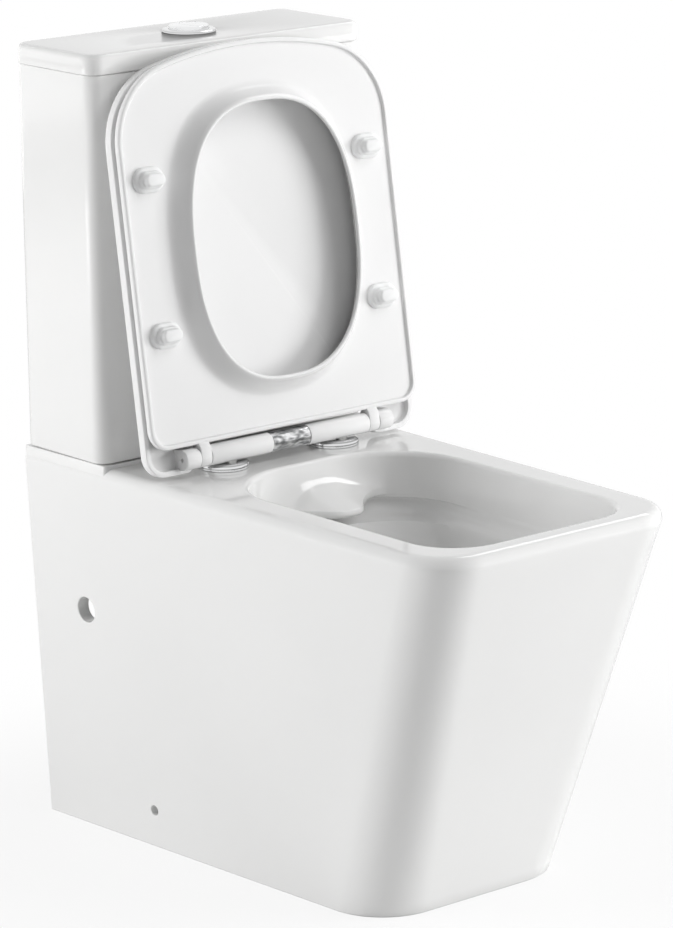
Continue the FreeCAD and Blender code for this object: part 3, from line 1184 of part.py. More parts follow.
def build_lid():
    """Lid with a hollow underside, hinge lugs in corner recesses and two bumpers towards the seat."""
    lid = Piece("lid")
    half = f"{LID_WIDTH} / 2"
    outline = [
        (f"-{half}", "lid_tail", "lid_tail_radius"), (half, "lid_tail", "lid_tail_radius"),
        *slab_front(LID_WIDTH, SEAT_REACH),
    ]
    lid.pad(lid.outline(outline, level=LID_UNDER), "lid_thickness")
    lid.fillet("lid_top_radius", lambda edge: at_height(edge, LID_TOP))
    notch = [
        (f"-{LUG_INNER}", "lid_tail + overrun"), (LUG_INNER, "lid_tail + overrun"),
        (LUG_INNER, "-lid_notch_edge"), (f"-{LUG_INNER}", "-lid_notch_edge"),
    ]
    lid.pocket(lid.outline(notch, level=LID_TOP), "lid_thickness + overrun")
    field, rear = f"({half} - lid_border)", "-(recess_front + lid_border)"
    hollow = [
        (f"-{field}", rear, "lid_border"), (field, rear, "lid_border"),
        *[
            (corner[0], corner[1], f"{corner[2]} - lid_border")
            for corner in slab_front(f"{LID_WIDTH} - 2 * lid_border", f"{SEAT_REACH} - lid_border")
        ],
    ]
    lid.pocket(lid.outline(hollow, level=LID_UNDER), "lid_hollow", forward=True)

    lug = [
        ("-ear_radius", "0"), ("ear_radius", "0"), ("ear_radius", f"{LID_UNDER} + lid_thickness / 2"),
        ("-ear_radius", f"{LID_UNDER} + lid_thickness / 2"),
    ]
    for side, sign in sides():
        near, far = f"{sign}({LUG_OUTER} - lug_end_wall / 2)", f"{sign}({half} - recess_wall)"
        recess = [
            (near, "lid_tail - recess_wall"), (far, "lid_tail - recess_wall", "lid_tail_radius - recess_wall"),
            (far, "-recess_front", "recess_wall"), (near, "-recess_front", "recess_wall"),
        ]
        lid.pocket(lid.outline(recess, level=LID_UNDER), "lid_thickness - recess_roof", forward=True)
        start = LUG_INNER if sign == "" else f"-{LUG_OUTER}"
        lid.pad(lid.outline(lug, plane="YZ", level=start), "lug_width")
        lid.pad(lid.circles([("0", "0", "2 * ear_radius")], plane="YZ", level=start), "lug_width")
        depth = "lug_width - lug_end_wall"
        bore = lid.circles([("0", "0", "pin_width + 2 * pin_gap")], plane="YZ", level=f"{sign}{LUG_INNER}")
        lid.pocket(bore, depth, forward=sign == "")
        end = lid.circles([("0", "0", "lug_end_hole")], plane="YZ", level=f"{sign}{LUG_INNER}")
        lid.pocket(end, "lug_width + lug_end_wall", forward=sign == "")
    raise_up(lid)

    for side, sign in sides():
        bumper = Piece(f"lid_bumper_{side}")
        pad = bumper.circles(
            [(f"{sign}{BUMPER_SHIFT}", f"-({SEAT_REACH} - lid_bumper_front)", "lid_bumper_width")],
            level=f"{SEAT_TOP} + rest_gap",
        )
        bumper.pad(pad, "lid_gap - rest_gap + lid_hollow")
        raise_up(bumper)


build_pan()
build_tank()
build_cover()
build_buttons()
build_flush_valve()
build_fill_valve()
build_tank_fixings()
build_hinge()
build_seat()
build_lid()
doc.recompute()

for thing in doc.Objects:
    if {"Invalid", "Error"} & set(thing.State):
        raise RuntimeError(f"{thing.Label} failed: {thing.State}")
for piece in pieces:
    if piece.Shape.isNull() or not piece.Shape.isValid() or len(piece.Shape.Solids) != 1:
        raise RuntimeError(f"{piece.Label} is not one sound solid")

os.makedirs("parts", exist_ok=True)
for piece in pieces:
    piece.Shape.exportStep(f"parts/{piece.Label}.step")
    print(piece.Label, round(piece.Shape.Volume))
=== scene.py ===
"""Looks of a back-to-wall toilet with its tank, seat and lid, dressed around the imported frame.

Lengths inside the classes are millimetres in the frame's axes. A mesh is scaled to metres when it is made.
The seat, its bumpers and the lid are given shut about the hinge axis and turned up to where they stand.
"""

import json
import logging
import math
from dataclasses import dataclass
from enum import Enum
from typing import ClassVar, Sequence

import bmesh
import bpy
import numpy as np
from mathutils import Matrix, Vector


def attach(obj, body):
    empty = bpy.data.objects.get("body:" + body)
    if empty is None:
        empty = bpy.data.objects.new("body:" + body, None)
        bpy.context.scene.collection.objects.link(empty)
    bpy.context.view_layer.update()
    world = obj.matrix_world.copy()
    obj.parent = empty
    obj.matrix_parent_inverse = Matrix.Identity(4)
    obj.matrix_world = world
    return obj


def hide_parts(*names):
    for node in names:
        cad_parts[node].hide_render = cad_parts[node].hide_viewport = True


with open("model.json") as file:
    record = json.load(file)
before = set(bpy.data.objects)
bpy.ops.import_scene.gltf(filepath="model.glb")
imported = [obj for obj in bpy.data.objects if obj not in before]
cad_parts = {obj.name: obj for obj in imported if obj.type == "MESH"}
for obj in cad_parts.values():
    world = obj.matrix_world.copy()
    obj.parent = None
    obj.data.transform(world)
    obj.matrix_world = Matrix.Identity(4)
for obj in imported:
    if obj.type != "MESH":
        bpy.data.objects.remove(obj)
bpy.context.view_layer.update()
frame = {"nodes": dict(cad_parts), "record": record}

LOG = logging.getLogger("toilet")
MM = 0.001

# Planes and lines that several pieces share
BACK = 326.5
DECK = 411.0
HINGE_Y = BACK - 221.0
HINGE_Z = DECK + 20.0
VALVE_LINE = 258.5

Pair = tuple[float, float]
Triple = tuple[float, float, float]
Profile = Sequence[Pair]
Triples = Sequence[Triple]
Outline = tuple[np.ndarray, np.ndarray]
Socket = str | int


class Side(Enum):
    """The two sides of the suite, as the sign of X."""

    LEFT = -1.0
    RIGHT = 1.0

    @property
    def word(self) -> str:
        """Name of the side as the frame's nodes write it."""
        return self.name.lower()


class Skin:
    """Grids and flat faces that together become the mesh of one piece."""

    def __init__(self) -> None:
        """Start with no points and no faces."""
        self.points: list[np.ndarray] = []
        self.faces: list[list[int]] = []
        self.count = 0

    def _add(self, points: np.ndarray) -> int:
        """Store points.

        Args:
            points: Points, with X, Y and Z on the last axis.

        Returns:
            The number of the first point.
        """
        first = self.count
        self.points.append(points.reshape(-1, 3))
        self.count += len(self.points[-1])
        return first

    def grid(self, rows: np.ndarray, around: bool = True, ring: bool = False,
             skip: np.ndarray | None = None) -> None:
        """Add a surface given as rows of points, one quad to each cell.

        Args:
            rows: Points shaped (rows, columns, 3).
            around: Whether the last column joins the first.
            ring: Whether the last row joins the first.
            skip: Mask of the cells that are left open.
        """
        index = self._add(rows) + np.arange(rows.shape[0] * rows.shape[1]).reshape(rows.shape[:2])
        if around:
            index = np.concatenate([index, index[:, :1]], axis=1)
        if ring:
            index = np.concatenate([index, index[:1]], axis=0)
        cells = np.stack([index[:-1, :-1], index[:-1, 1:], index[1:, 1:], index[1:, :-1]], axis=-1)
        kept = cells.reshape(-1, 4) if skip is None else cells[~skip]
        self.faces.extend(kept.tolist())

    def cap(self, loop: np.ndarray) -> None:
        """Add one flat face round a loop of points."""
        first = self._add(loop)
        self.faces.append(list(range(first, first + len(loop))))

    def loft(self, rows: np.ndarray) -> None:
        """Add rows round a closed outline, with a flat face over the first and the last.

        Args:
            rows: Points shaped (rows, outline, 3).
        """
        self.cap(rows[0])
        self.grid(rows)
        self.cap(rows[-1])

    def make(self, name: str, sharp: float = 38.0) -> bpy.types.Object:
        """Turn the skin into an object with merged seams and outward faces.

        Args:
            name: Name of the piece.
            sharp: Angle in degrees past which an edge stays crisp.

        Returns:
            The new object, linked to the scene.
        """
        mesh = bpy.data.meshes.new(name)
        mesh.from_pydata((np.concatenate(self.points) * MM).tolist(), [], self.faces)
        work = bmesh.new()
        work.from_mesh(mesh)
        bmesh.ops.remove_doubles(work, verts=work.verts, dist=2e-6)
        bmesh.ops.recalc_face_normals(work, faces=work.faces)
        work.to_mesh(mesh)
        work.free()
        mesh.polygons.foreach_set("use_smooth", np.ones(len(mesh.polygons), dtype=bool))
        mesh.set_sharp_from_angle(angle=math.radians(sharp))
        piece = bpy.data.objects.new(name, mesh)
        bpy.context.scene.collection.objects.link(piece)
        return piece


class Raised(Skin):
    """Skin whose points are given with seat and lid shut and stored as they stand raised."""

    lean: ClassVar[float] = 8.4

    def _add(self, points: np.ndarray) -> int:
        """Store points turned about the hinge axis, up past upright by the lean.

        Args:
            points: Points with seat and lid shut.

        Returns:
            The number of the first point.
        """
        angle = -math.radians(90 + self.lean)
        x, y, z = np.moveaxis(points, -1, 0)
        turned_y = y * math.cos(angle) - z * math.sin(angle) + HINGE_Y
        turned_z = y * math.sin(angle) + z * math.cos(angle) + HINGE_Z
        return super()._add(np.stack([x, turned_y, turned_z], axis=-1))


def unit(vectors: np.ndarray) -> np.ndarray:
    """Vectors divided by their lengths."""
    return vectors / np.maximum(np.linalg.norm(vectors, axis=-1, keepdims=True), 1e-12)


def bearing(vectors: np.ndarray) -> np.ndarray:
    """Angles of flat vectors."""
    return np.arctan2(vectors[:, 1], vectors[:, 0])


def circle(radius: float | np.ndarray, angle: np.ndarray) -> np.ndarray:
    """Points of a circle over an angle."""
    return np.stack([radius * np.cos(angle), radius * np.sin(angle)], axis=-1)


def level(loop: np.ndarray, height: float | np.ndarray) -> np.ndarray:
    """Points of a flat loop in X and Y at a height."""
    return np.concatenate([loop, np.broadcast_to(height, (len(loop),))[:, None]], axis=1)


def upright(loop: np.ndarray, x: float | np.ndarray) -> np.ndarray:
    """Points of a flat loop in Y and Z at a place along X."""
    return np.concatenate([np.broadcast_to(x, (len(loop),))[:, None], loop], axis=1)


def eased(share: np.ndarray) -> np.ndarray:
    """Share held between zero and one and eased at both ends: its square times three less twice itself."""
    held = np.clip(share, 0, 1)
    return held ** 2 * (3 - 2 * held)


def softly_positive(values: np.ndarray, width: float) -> np.ndarray:
    """Values that bend to zero: half of each value plus the root of its square and the width's square."""
    return (values + np.sqrt(values ** 2 + width ** 2)) / 2


def faded_normals(loop: np.ndarray, tips: np.ndarray, reach: float) -> tuple[np.ndarray, np.ndarray]:
    """Normals of a loop with two tips, and how far its edge round is to fade out towards them.

    A normal is the way from the point before to the point after, turned to the right. The fade is the
    distance to the nearer tip over a reach, held to one.

    Args:
        loop: Points of the loop, anticlockwise.
        tips: The two tips.
        reach: Distance from a tip at which the fade ends.

    Returns:
        The normals and the fade of every point.
    """
    way = unit(np.roll(loop, -1, axis=0) - np.roll(loop, 1, axis=0))
    near = np.linalg.norm(loop[:, None] - tips, axis=-1).min(axis=1)
    return np.stack([way[:, 1], -way[:, 0]], axis=1), np.clip(near / reach, 0.0, 1.0)


def rounded(corners: Triples, arc: int, edge: int) -> Outline:
    """Closed outline with rounded corners and its outward normals.

    A corner's arc is the circle tangent to both its sides, cut into equal angles; a side is cut into
    equal lengths. Outlines with the same number of corners therefore match point by point.

    Args:
        corners: Corners as x, y and radius.
        arc: Points on each arc.
        edge: Points inside each side.

    Returns:
        Points and normals, each shaped (points, 2).
    """
    table = np.asarray(corners, dtype=float)
    spot, radius = table[:, :2], table[:, 2:]
    before, after = unit(np.roll(spot, 1, axis=0) - spot), unit(np.roll(spot, -1, axis=0) - spot)
    half = np.arccos(np.clip((before * after).sum(axis=1, keepdims=True), -1, 1)) / 2
    start, end = spot + before * radius / np.tan(half), spot + after * radius / np.tan(half)
    centre = spot + unit(before + after) * radius / np.sin(half)
    first, last = bearing(start - centre), bearing(end - centre)
    sweep = (last - first + np.pi) % (2 * np.pi) - np.pi
    spoke = circle(1.0, first[:, None] + sweep[:, None] * np.linspace(0, 1, arc))
    arcs = centre[:, None] + radius[:, None] * spoke
    x, y = spot.T
    turn = np.sign((x * np.roll(y, -1) - np.roll(x, -1) * y).sum())
    arc_normals = spoke * (np.sign(sweep) * turn)[:, None, None]
    step = np.arange(1, edge + 1)[None, :, None] / (edge + 1)
    run = np.roll(start, -1, axis=0) - end
    sides = end[:, None] + run[:, None] * step
    across = unit(np.stack([run[:, 1], -run[:, 0]], axis=-1)) * turn
    side_normals = np.repeat(across[:, None], edge, axis=1)
    points = np.concatenate([arcs, sides], axis=1).reshape(-1, 2)
    normals = np.concatenate([arc_normals, side_normals], axis=1).reshape(-1, 2)
    return points, normals


def symmetric(right: Triples, arc: int, edge: int) -> Outline:
    """Rounded outline with the corners of its right half, rear first, and their mirror images."""
    return rounded([*right, *((-x, y, radius) for x, y, radius in reversed(right))], arc, edge)


def stack(outline: Outline, profile: Sequence[tuple[float | np.ndarray, float]]) -> np.ndarray:
    """Rows of an outline, each moved in by an inset of a profile and at its height."""
    points, normals = outline
    return np.stack([level(points - normals * np.asarray(inset)[..., None], z) for inset, z in profile])


def fillet(radius: float, start: float, stop: float, inset: float, height: float,
           steps: int = 7) -> list[Pair]:
    """Round of a profile about a middle, between two angles in degrees, with 0 outwards and 90 up."""
    angles = np.radians(np.linspace(start, stop, steps))
    return list(zip(inset - radius * np.cos(angles), height + radius * np.sin(angles)))


def turned(profile: Profile, centre: Sequence[float], count: int = 96, along: int = 2) -> np.ndarray:
    """Rows of a profile of radius and height turned round an axis through a centre.

    Args:
        profile: Pairs of radius and distance along the axis.
        centre: A point on the axis.
        count: Points round the axis.
        along: Axis number, 0 for X and 2 for Z.

    Returns:
        Points shaped (profile, count, 3).
    """
    radius, reach = np.asarray(profile, dtype=float).T
    ring = circle(radius[:, None], np.linspace(0, 2 * np.pi, count, endpoint=False))
    axis = np.repeat(reach[:, None, None], count, axis=1)
    parts = (ring, axis) if along == 2 else (axis, ring)
    return np.concatenate(parts, axis=-1) + np.asarray(centre, dtype=float)


def prism(skin: Skin, outline: Outline, start: float, stop: float, bevel: float = 0.8,
          bore: Pair | None = None) -> None:
    """Add a bar along X whose section is an outline in Y and Z, with bevelled ends.

    Args:
        skin: Skin that takes the bar.
        outline: Points and normals of the section.
        start: X of the plain end.
        stop: X of the other end.
        bevel: Width of the bevel at both ends.
        bore: Radius and depth of a blind hole in the middle of the other end.
    """
    points, normals = outline
    way = math.copysign(1.0, stop - start)
    slope = ((bevel, 0.0), (0.3 * bevel, 0.3 * bevel), (0.0, bevel))
    ends = [(inset, start + way * depth) for inset, depth in slope]
    ends += [(inset, stop - way * depth) for inset, depth in reversed(slope)]
    rows = [upright(points - normals * inset, x) for inset, x in ends]
    if bore is not None:
        radius, depth = bore
        angle = bearing(points)
        for size, sunk in ((radius + 0.4, 0.0), (radius, 0.4), (radius, depth)):
            rows.append(upright(circle(size, angle), stop - way * sunk))
    skin.loft(np.stack(rows))


def fresh(tree: bpy.types.NodeTree, *kinds: str) -> list[bpy.types.Node]:
    """New shader nodes of some kinds."""
    return [tree.nodes.new(f"ShaderNode{kind}") for kind in kinds]


def preset(node: bpy.types.Node, values: dict[Socket, object]) -> None:
    """Set the values of a node's inputs by their names or numbers."""
    for name, value in values.items():
        node.inputs[name].default_value = value


def wire(tree: bpy.types.NodeTree, *links: tuple[bpy.types.Node, Socket, bpy.types.Node, Socket]) -> None:
    """Link a node's output to another node's input, each by its name or number."""
    for source, output, target, entry in links:
        tree.links.new(source.outputs[output], target.inputs[entry])


class Surface:
    """Shader node group that all finishes share."""

    name: ClassVar[str] = "unevenness"
    # Sockets by their direction and kind
    sockets: ClassVar[dict[tuple[str, str], Sequence[str]]] = {
        ("INPUT", "Vector"): ("Vector",), ("INPUT", "Color"): ("Light", "Shade"),
        ("INPUT", "Float"): ("Broad Scale", "Fine Scale", "Smoothest", "Roughest", "Fine Share", "Spread"),
        ("OUTPUT", "Color"): ("Color",), ("OUTPUT", "Float"): ("Roughness", "Height"),
    }

    @classmethod
    def unevenness(cls) -> bpy.types.ShaderNodeTree:
        """Group of broad and fine noise that shifts colour, roughness and height.

        The broad noise, stretched about its middle by the spread, mixes the two colours. The fine noise sets
        the roughness between its limits. The height is a mix of both by the fine share.

        Returns:
            The group, built once.
        """
        found = bpy.data.node_groups.get(cls.name)
        if found:
            return found
        tree = bpy.data.node_groups.new(cls.name, "ShaderNodeTree")
        for (way, kind), names in cls.sockets.items():
            for name in names:
                tree.interface.new_socket(name, in_out=way, socket_type=f"NodeSocket{kind}")
        given, sink = tree.nodes.new("NodeGroupInput"), tree.nodes.new("NodeGroupOutput")
        broad, fine, tint, blend = fresh(tree, "TexNoise", "TexNoise", "Mix", "Mix")
        contrast, gloss, low, high = fresh(tree, "MapRange", "MapRange", "Math", "Math")
        preset(broad, {"Detail": 1.0})
        preset(fine, {"Detail": 3.0})
        tint.data_type = "RGBA"
        low.operation, high.operation = "SUBTRACT", "ADD"
        for limit, end in ((low, "From Min"), (high, "From Max")):
            preset(limit, {0: 0.5})
            wire(tree, (given, "Spread", limit, 1), (limit, "Value", contrast, end))
        for noise, scale in ((broad, "Broad Scale"), (fine, "Fine Scale")):
            wire(tree, (given, "Vector", noise, "Vector"), (given, scale, noise, "Scale"))
        wire(
            tree,
            (broad, "Fac", contrast, "Value"), (contrast, "Result", tint, 0), (given, "Shade", tint, 6),
            (given, "Light", tint, 7), (tint, 2, sink, "Color"), (fine, "Fac", gloss, "Value"),
            (given, "Smoothest", gloss, "To Min"), (given, "Roughest", gloss, "To Max"),
            (gloss, "Result", sink, "Roughness"), (given, "Fine Share", blend, 0), (broad, "Fac", blend, 2),
            (fine, "Fac", blend, 3), (blend, 0, sink, "Height"),
        )
        return tree


@dataclass(frozen=True)
class Finish:
    """A finish: a principled shader whose colour, roughness and relief come from the unevenness group."""

    name: str
    light: Triple
    shade: Triple
    smoothest: float
    roughest: float
    broad: float = 6.0
    fine: float = 500.0
    fine_share: float = 0.15
    relief: float = 0.05
    depth: float = 0.0004
    metallic: float = 0.0
    coat: float = 0.0
    ior: float = 1.5
    stretch: Triple = (1.0, 1.0, 1.0)
    spread: float = 0.5
    slot: str = ""

    def dress(self, material: bpy.types.Material) -> None:
        """Give a material its nodes.

        Args:
            material: A new material.
        """
        tree = material.node_tree
        shader = tree.nodes["Principled BSDF"]
        place, mapping, uneven, bump = fresh(tree, "TexCoord", "Mapping", "Group", "Bump")
        uneven.node_tree = Surface.unevenness()
        preset(mapping, {"Scale": self.stretch})
        preset(uneven, {
            "Light": (*self.light, 1), "Shade": (*self.shade, 1), "Broad Scale": self.broad,
            "Fine Scale": self.fine, "Smoothest": self.smoothest, "Roughest": self.roughest,
            "Fine Share": self.fine_share, "Spread": self.spread,
        })
        preset(bump, {"Strength": self.relief, "Distance": self.depth})
        preset(shader, {"Metallic": self.metallic, "Coat Weight": self.coat, "IOR": self.ior})
        wire(
            tree,
            (place, "Object", mapping, "Vector"), (mapping, "Vector", uneven, "Vector"),
            (uneven, "Color", shader, "Base Color"), (uneven, "Roughness", shader, "Roughness"),
            (uneven, "Height", bump, "Height"), (bump, "Normal", shader, "Normal"),
        )

    def material(self) -> bpy.types.Material:
        """Build the material once.

        Returns:
            The material of this finish.
        """
        found = bpy.data.materials.get(self.name)
        if found:
            return found
        material = bpy.data.materials.new(self.name)
        material.use_nodes = True
        self.dress(material)
        return material


@dataclass(frozen=True)
class PaintedReflectionFinish(Finish):
    """A polished finish with painted reflections: its colour darkens and lightens in level bands over a
    height, in metres.
    """

    base: float = 0.0
    height: float = 1.0
    # Greys of the painted reflection bands, from the base to the top
    greys: tuple[float, ...] = (0.5, 0.9)

    def dress(self, material: bpy.types.Material) -> None:
        """Give a material its nodes, with the colour multiplied by a ramp of greys over Z that paints the
        reflections.

        Args:
            material: A new material.
        """
        super().dress(material)
        tree = material.node_tree
        shader = tree.nodes["Principled BSDF"]
        uneven = shader.inputs["Base Color"].links[0].from_node
        place, split, rise, ramp, tint = fresh(tree, "TexCoord", "SeparateXYZ", "MapRange", "ValToRGB", "Mix")
        preset(rise, {"From Min": self.base, "From Max": self.base + self.height})
        stops = ramp.color_ramp.elements
        while len(stops) < len(self.greys):
            stops.new(0.5)
        for number, grey in enumerate(self.greys):
            stops[number].position = number / (len(self.greys) - 1)
            stops[number].color = (grey, grey, grey, 1)
        tint.data_type, tint.blend_type = "RGBA", "MULTIPLY"
        preset(tint, {0: 1.0})
        wire(
            tree,
            (place, "Object", split, "Vector"), (split, "Z", rise, "Value"), (rise, "Result", ramp, "Fac"),
            (uneven, "Color", tint, 6), (ramp, "Color", tint, 7), (tint, 2, shader, "Base Color"),
        )


POLISH: dict[str, object] = {
    "light": (0.95, 0.955, 0.96), "shade": (0.82, 0.825, 0.83), "smoothest": 0.05, "roughest": 0.12,
    "broad": 60.0, "fine": 900.0, "fine_share": 0.1, "relief": 0.1, "metallic": 1.0, "slot": "chrome",
}


class Finishes(Enum):
    """The finishes, named by the frame's material slots or by the piece that they are for."""

    china = Finish(
        "glazed_china", (0.84, 0.84, 0.835), (0.80, 0.80, 0.795), 0.06, 0.11, broad=5.0, fine=900.0,
        fine_share=0.03, relief=0.12, depth=0.002, coat=0.3, ior=1.52)
    seat_plastic = Finish(
        "gloss_seat_plastic", (0.835, 0.835, 0.835), (0.81, 0.81, 0.81), 0.12, 0.2, broad=9.0, fine=1400.0,
        fine_share=0.2, relief=0.05, depth=0.0006)
    bumper_gel = Finish(
        "frosted_gel", (0.88, 0.885, 0.885), (0.83, 0.835, 0.835), 0.3, 0.45, broad=60.0, fine=900.0,
        fine_share=0.5, relief=0.1, ior=1.45)
    # Painted reflections: broad noise stretched along X mixes dark and bright streaks into the chrome's
    # colour, on top of a bump ripple
    chrome = Finish(
        "rippled_chrome", (0.86, 0.865, 0.87), (0.24, 0.245, 0.25), 0.05, 0.12, broad=110.0, fine=900.0,
        fine_share=0.1, relief=0.3, depth=0.0006, metallic=1.0, stretch=(0.9, 2.2, 2.2), spread=0.16)
    button_chrome = Finish(
        "satin_chrome", (0.9, 0.905, 0.91), (0.8, 0.805, 0.81), 0.08, 0.16, broad=45.0, fine=1200.0,
        fine_share=0.3, relief=0.08, metallic=1.0, slot="chrome")
    # Painted reflections: level grey bands over the rosette's height darken and lighten its chrome colour
    rosette_chrome = PaintedReflectionFinish(
        "rosette_chrome", **POLISH, base=0.411, height=0.008,
        greys=(0.4, 0.85, 0.92, 0.25, 0.85, 0.9, 0.4, 0.62, 0.66))
    # Painted reflections: level grey bands over the bezel's flange darken and lighten its chrome colour
    bezel_chrome = PaintedReflectionFinish(
        "bezel_chrome", **POLISH, base=0.8479, height=0.0032, greys=(0.25, 0.75, 0.9, 0.55, 0.8, 0.82))
    valve_plastic = Finish(
        "moulded_valve_plastic", (0.74, 0.75, 0.75), (0.66, 0.67, 0.67), 0.35, 0.5, broad=30.0, fine=1500.0,
        fine_share=0.5, relief=0.15)
    nut_plastic = Finish(
        "moulded_grey_plastic", (0.09, 0.095, 0.1), (0.06, 0.063, 0.067), 0.4, 0.55, broad=40.0, fine=1200.0,
        fine_share=0.6, relief=0.2)
    float_plastic = Finish(
        "moulded_blue_plastic", (0.11, 0.23, 0.36), (0.08, 0.17, 0.28), 0.38, 0.5, broad=25.0, fine=1300.0,
        fine_share=0.5, relief=0.18)
    black_rubber = Finish(
        "matte_black_rubber", (0.022, 0.022, 0.023), (0.014, 0.014, 0.015), 0.6, 0.8, broad=50.0, fine=1100.0,
        fine_share=0.7, relief=0.25)
    steel = Finish(
        "zinc_plated_steel", (0.55, 0.55, 0.54), (0.44, 0.44, 0.43), 0.25, 0.42, broad=90.0, fine=1500.0,
        fine_share=0.5, relief=0.2, metallic=1.0, stretch=(1.0, 1.0, 8.0))


def finish_off(piece: bpy.types.Object, body: str, finish: Finishes, *nodes: str) -> None:
    """Dress a new piece, let it ride on its body and stand for its nodes.

    Args:
        piece: The new piece.
        body: Body that carries it.
        finish: Its finish.
        *nodes: Nodes of the frame that it replaces.
    """
    piece.data.materials.clear()
    piece.data.materials.append(finish.value.material())
    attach(piece, body)
    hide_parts(*nodes)
    finish.value.slot or finish.name
    LOG.info("%s rides on %s, %d faces", piece.name, body, len(piece.data.polygons))


@dataclass(frozen=True)
class SideHole:
    """A round hole in both sides of the skirt: middle in Y and Z, radius, half its mesh window and edge."""

    middle: Pair
    radius: float
    window: float
    lip: float = 1.2


@dataclass
class Pan:
    """The casting of the pan: skirt, rim, bowl, flush tongue, trap and duct."""

    length: float = 653.0
    rear_width: float = 363.0
    front_width: float = 330.0
    rim_corner: float = 58.0
    rim_round: float = 12.0
    foot_length: float = 521.0
    foot_rear_width: float = 322.0
    foot_front_width: float = 267.0
    foot_corner: float = 67.0
    foot_round: float = 1.5
    wall_corner: float = 0.8
    wall: float = 14.0
    deck: float = 20.0
    bowl_half: float = 126.5
    bowl_rear: float = 254.0
    front_rim: float = 28.0
    bowl_round: float = 94.9
    front_round: float = 55.0
    bowl_edge: float = 6.0
    bowl_wall: float = 12.0
    draft: float = 8.0
    draft_height: float = 60.0
    sump_round: float = 18.0
    sump_height: float = 70.0
    sump_floor: float = 60.0
    tongue_drop: float = 37.0
    tongue_lip: float = 8.0
    tongue_reach: float = 77.0
    tongue_half: float = 11.0
    tongue_soft: float = 7.0
    tongue_flare: float = 38.0
    tongue_power: float = 1.6
    tongue_blend: float = 4.0
    apron_top: float = 1.5
    apron_start: float = 0.15
    apron_power: float = 1.6
    apron_share: float = 0.965
    groove_start: float = -120.0
    groove_span: float = 160.0
    trap_bore: float = 40.0
    trap_outside: float = 51.0
    platform_rise: float = 4.0
    platform_front: float = 190.5
    platform_front_half: float = 177.1
    platform_rear_half: float = 180.5
    platform_corner: float = 4.0
    platform_gap: float = 0.3
    duct_half: float = 37.0
    duct_rear: float = 308.5
    duct_front: float = 72.5
    duct_round: float = 6.0
    duct_drop: float = 48.0
    duct_sink: float = 4.0
    service: SideHole = SideHole((238.5, 248.0), 14.0, 31.0)
    fixing: SideHole = SideHole((148.5, 42.0), 5.5, 15.0)
    arc: int = 24
    edge: int = 80

    # Round of the tongue's lip: height over its underside and share of the reach
    lip_rows: Profile = (
        (7, 0.978), (6, 0.989), (5, 0.996), (4, 1.0), (3, 0.998), (2, 0.99), (1, 0.972), (0.3, 0.945),
        (0, 0.9), (-0.1, 0.75), (-0.2, 0.5), (-0.4, 0.25), (-1, 0.08), (-2.5, 0.0),
    )
    # Groove under the lip: growth of the outline, depth of the groove and height
    groove_rows: Triples = (
        (-6.2, 4.0, 361.5), (-6.6, 6.5, 358.5), (-7.2, 7.0, 355.0), (-8.2, 6.5, 351.5), (-9.4, 5.0, 348.4),
        (-10.8, 2.8, 346.0), (-12.2, 0.8, 344.0),
    )
    bowl_heights: Sequence[float] = (
        341.5, 335, 328, 320, 311, 298, 284, 268, 250, 230, 210, 190, 170, 150, 130, 110, 92, 80, 72,
    )
    # Bowl below its groove, at four heights: half width, wall to rear and front, rear and front corners
    section_heights: Sequence[float] = (351.0, 250.0, 140.0, 52.0)
    sections: Sequence[Sequence[float]] = (
        (116.0, 84.0, 52.0, 40.0), (272.0, 304.0, 314.0, 322.0), (613.0, 527.0, 437.0, 399.0),
        (94.0, 64.0, 42.0, 26.0), (46.0, 60.0, 42.0, 26.0),
    )
    # Outside of the bowl: heights near the rim, lower heights, and inset and height of its base
    neck_heights: Sequence[float] = (375.0, 358.0, 342.0)
    belly_heights: Sequence[float] = (330.0, 305, 280, 250, 220, 190, 160, 130, 100, 75, 60)
    base_rows: Profile = ((3.0, 48.0), (10.0, 42.0), (18.0, 40.0))
    # Trap: corners of its path as distance from the wall and height, and the bend at each inner corner
    trap_path: Profile = (
        (345.0, 92.0), (275.0, 92.0), (200.0, 262.0), (120.0, 178.0), (22.0, 178.0),
    )
    trap_bends: Sequence[float] = (60.0, 55.0, 55.0)

    @property
    def brow(self) -> float:
        """Height at which the rim starts to round over."""
        return DECK - self.rim_round

    @property
    def under(self) -> float:
        """Height of the underside of the deck."""
        return DECK - self.deck

    @property
    def open_span(self) -> tuple[int, int]:
        """First and last column of an outline that runs from wall to wall round the front."""
        return self.arc - 1, 3 * (self.arc + self.edge)

    def skirt(self, share: float, inset: float) -> Outline:
        """Outline of the skirt, whose measures change evenly from foot to brow.

        Args:
            share: Share of the way from foot to brow.
            inset: Distance that it is moved in, but not at the wall.

        Returns:
            Points and normals.
        """
        foot = np.array([
            self.foot_rear_width / 2, self.foot_front_width / 2, self.foot_length, self.foot_corner,
        ])
        brow = np.array([self.rear_width / 2, self.front_width / 2, self.length, self.rim_corner])
        rear, front, reach, radius = foot + (brow - foot) * share - inset
        return symmetric([(rear, BACK, self.wall_corner), (front, BACK - reach, radius)], self.arc, self.edge)

    def basin(self, half: float, rear: float, front: float, rear_round: float, front_round: float,
              grow: float) -> np.ndarray:
        """Outline of the bowl with its rear and front edges measured from the wall, grown outwards."""
        sides = ((BACK - rear + grow, rear_round), (BACK - front - grow, front_round))
        return symmetric([(half + grow, y, bend + grow) for y, bend in sides], self.arc, self.edge)[0]

    def upper(self, grow: float) -> np.ndarray:
        """Outline of the bowl near the rim, grown outwards."""
        front = self.length - self.front_rim
        return self.basin(self.bowl_half, self.bowl_rear, front, self.bowl_round, self.front_round, grow)

    def lower(self, height: float, grow: float = 0.0) -> np.ndarray:
        """Outline of the bowl below its groove: each measure is the cubic through the four sections."""
        cubics = [np.polyfit(self.section_heights, row, 3) for row in self.sections]
        return self.basin(*(np.polyval(cubic, height) for cubic in cubics), grow)

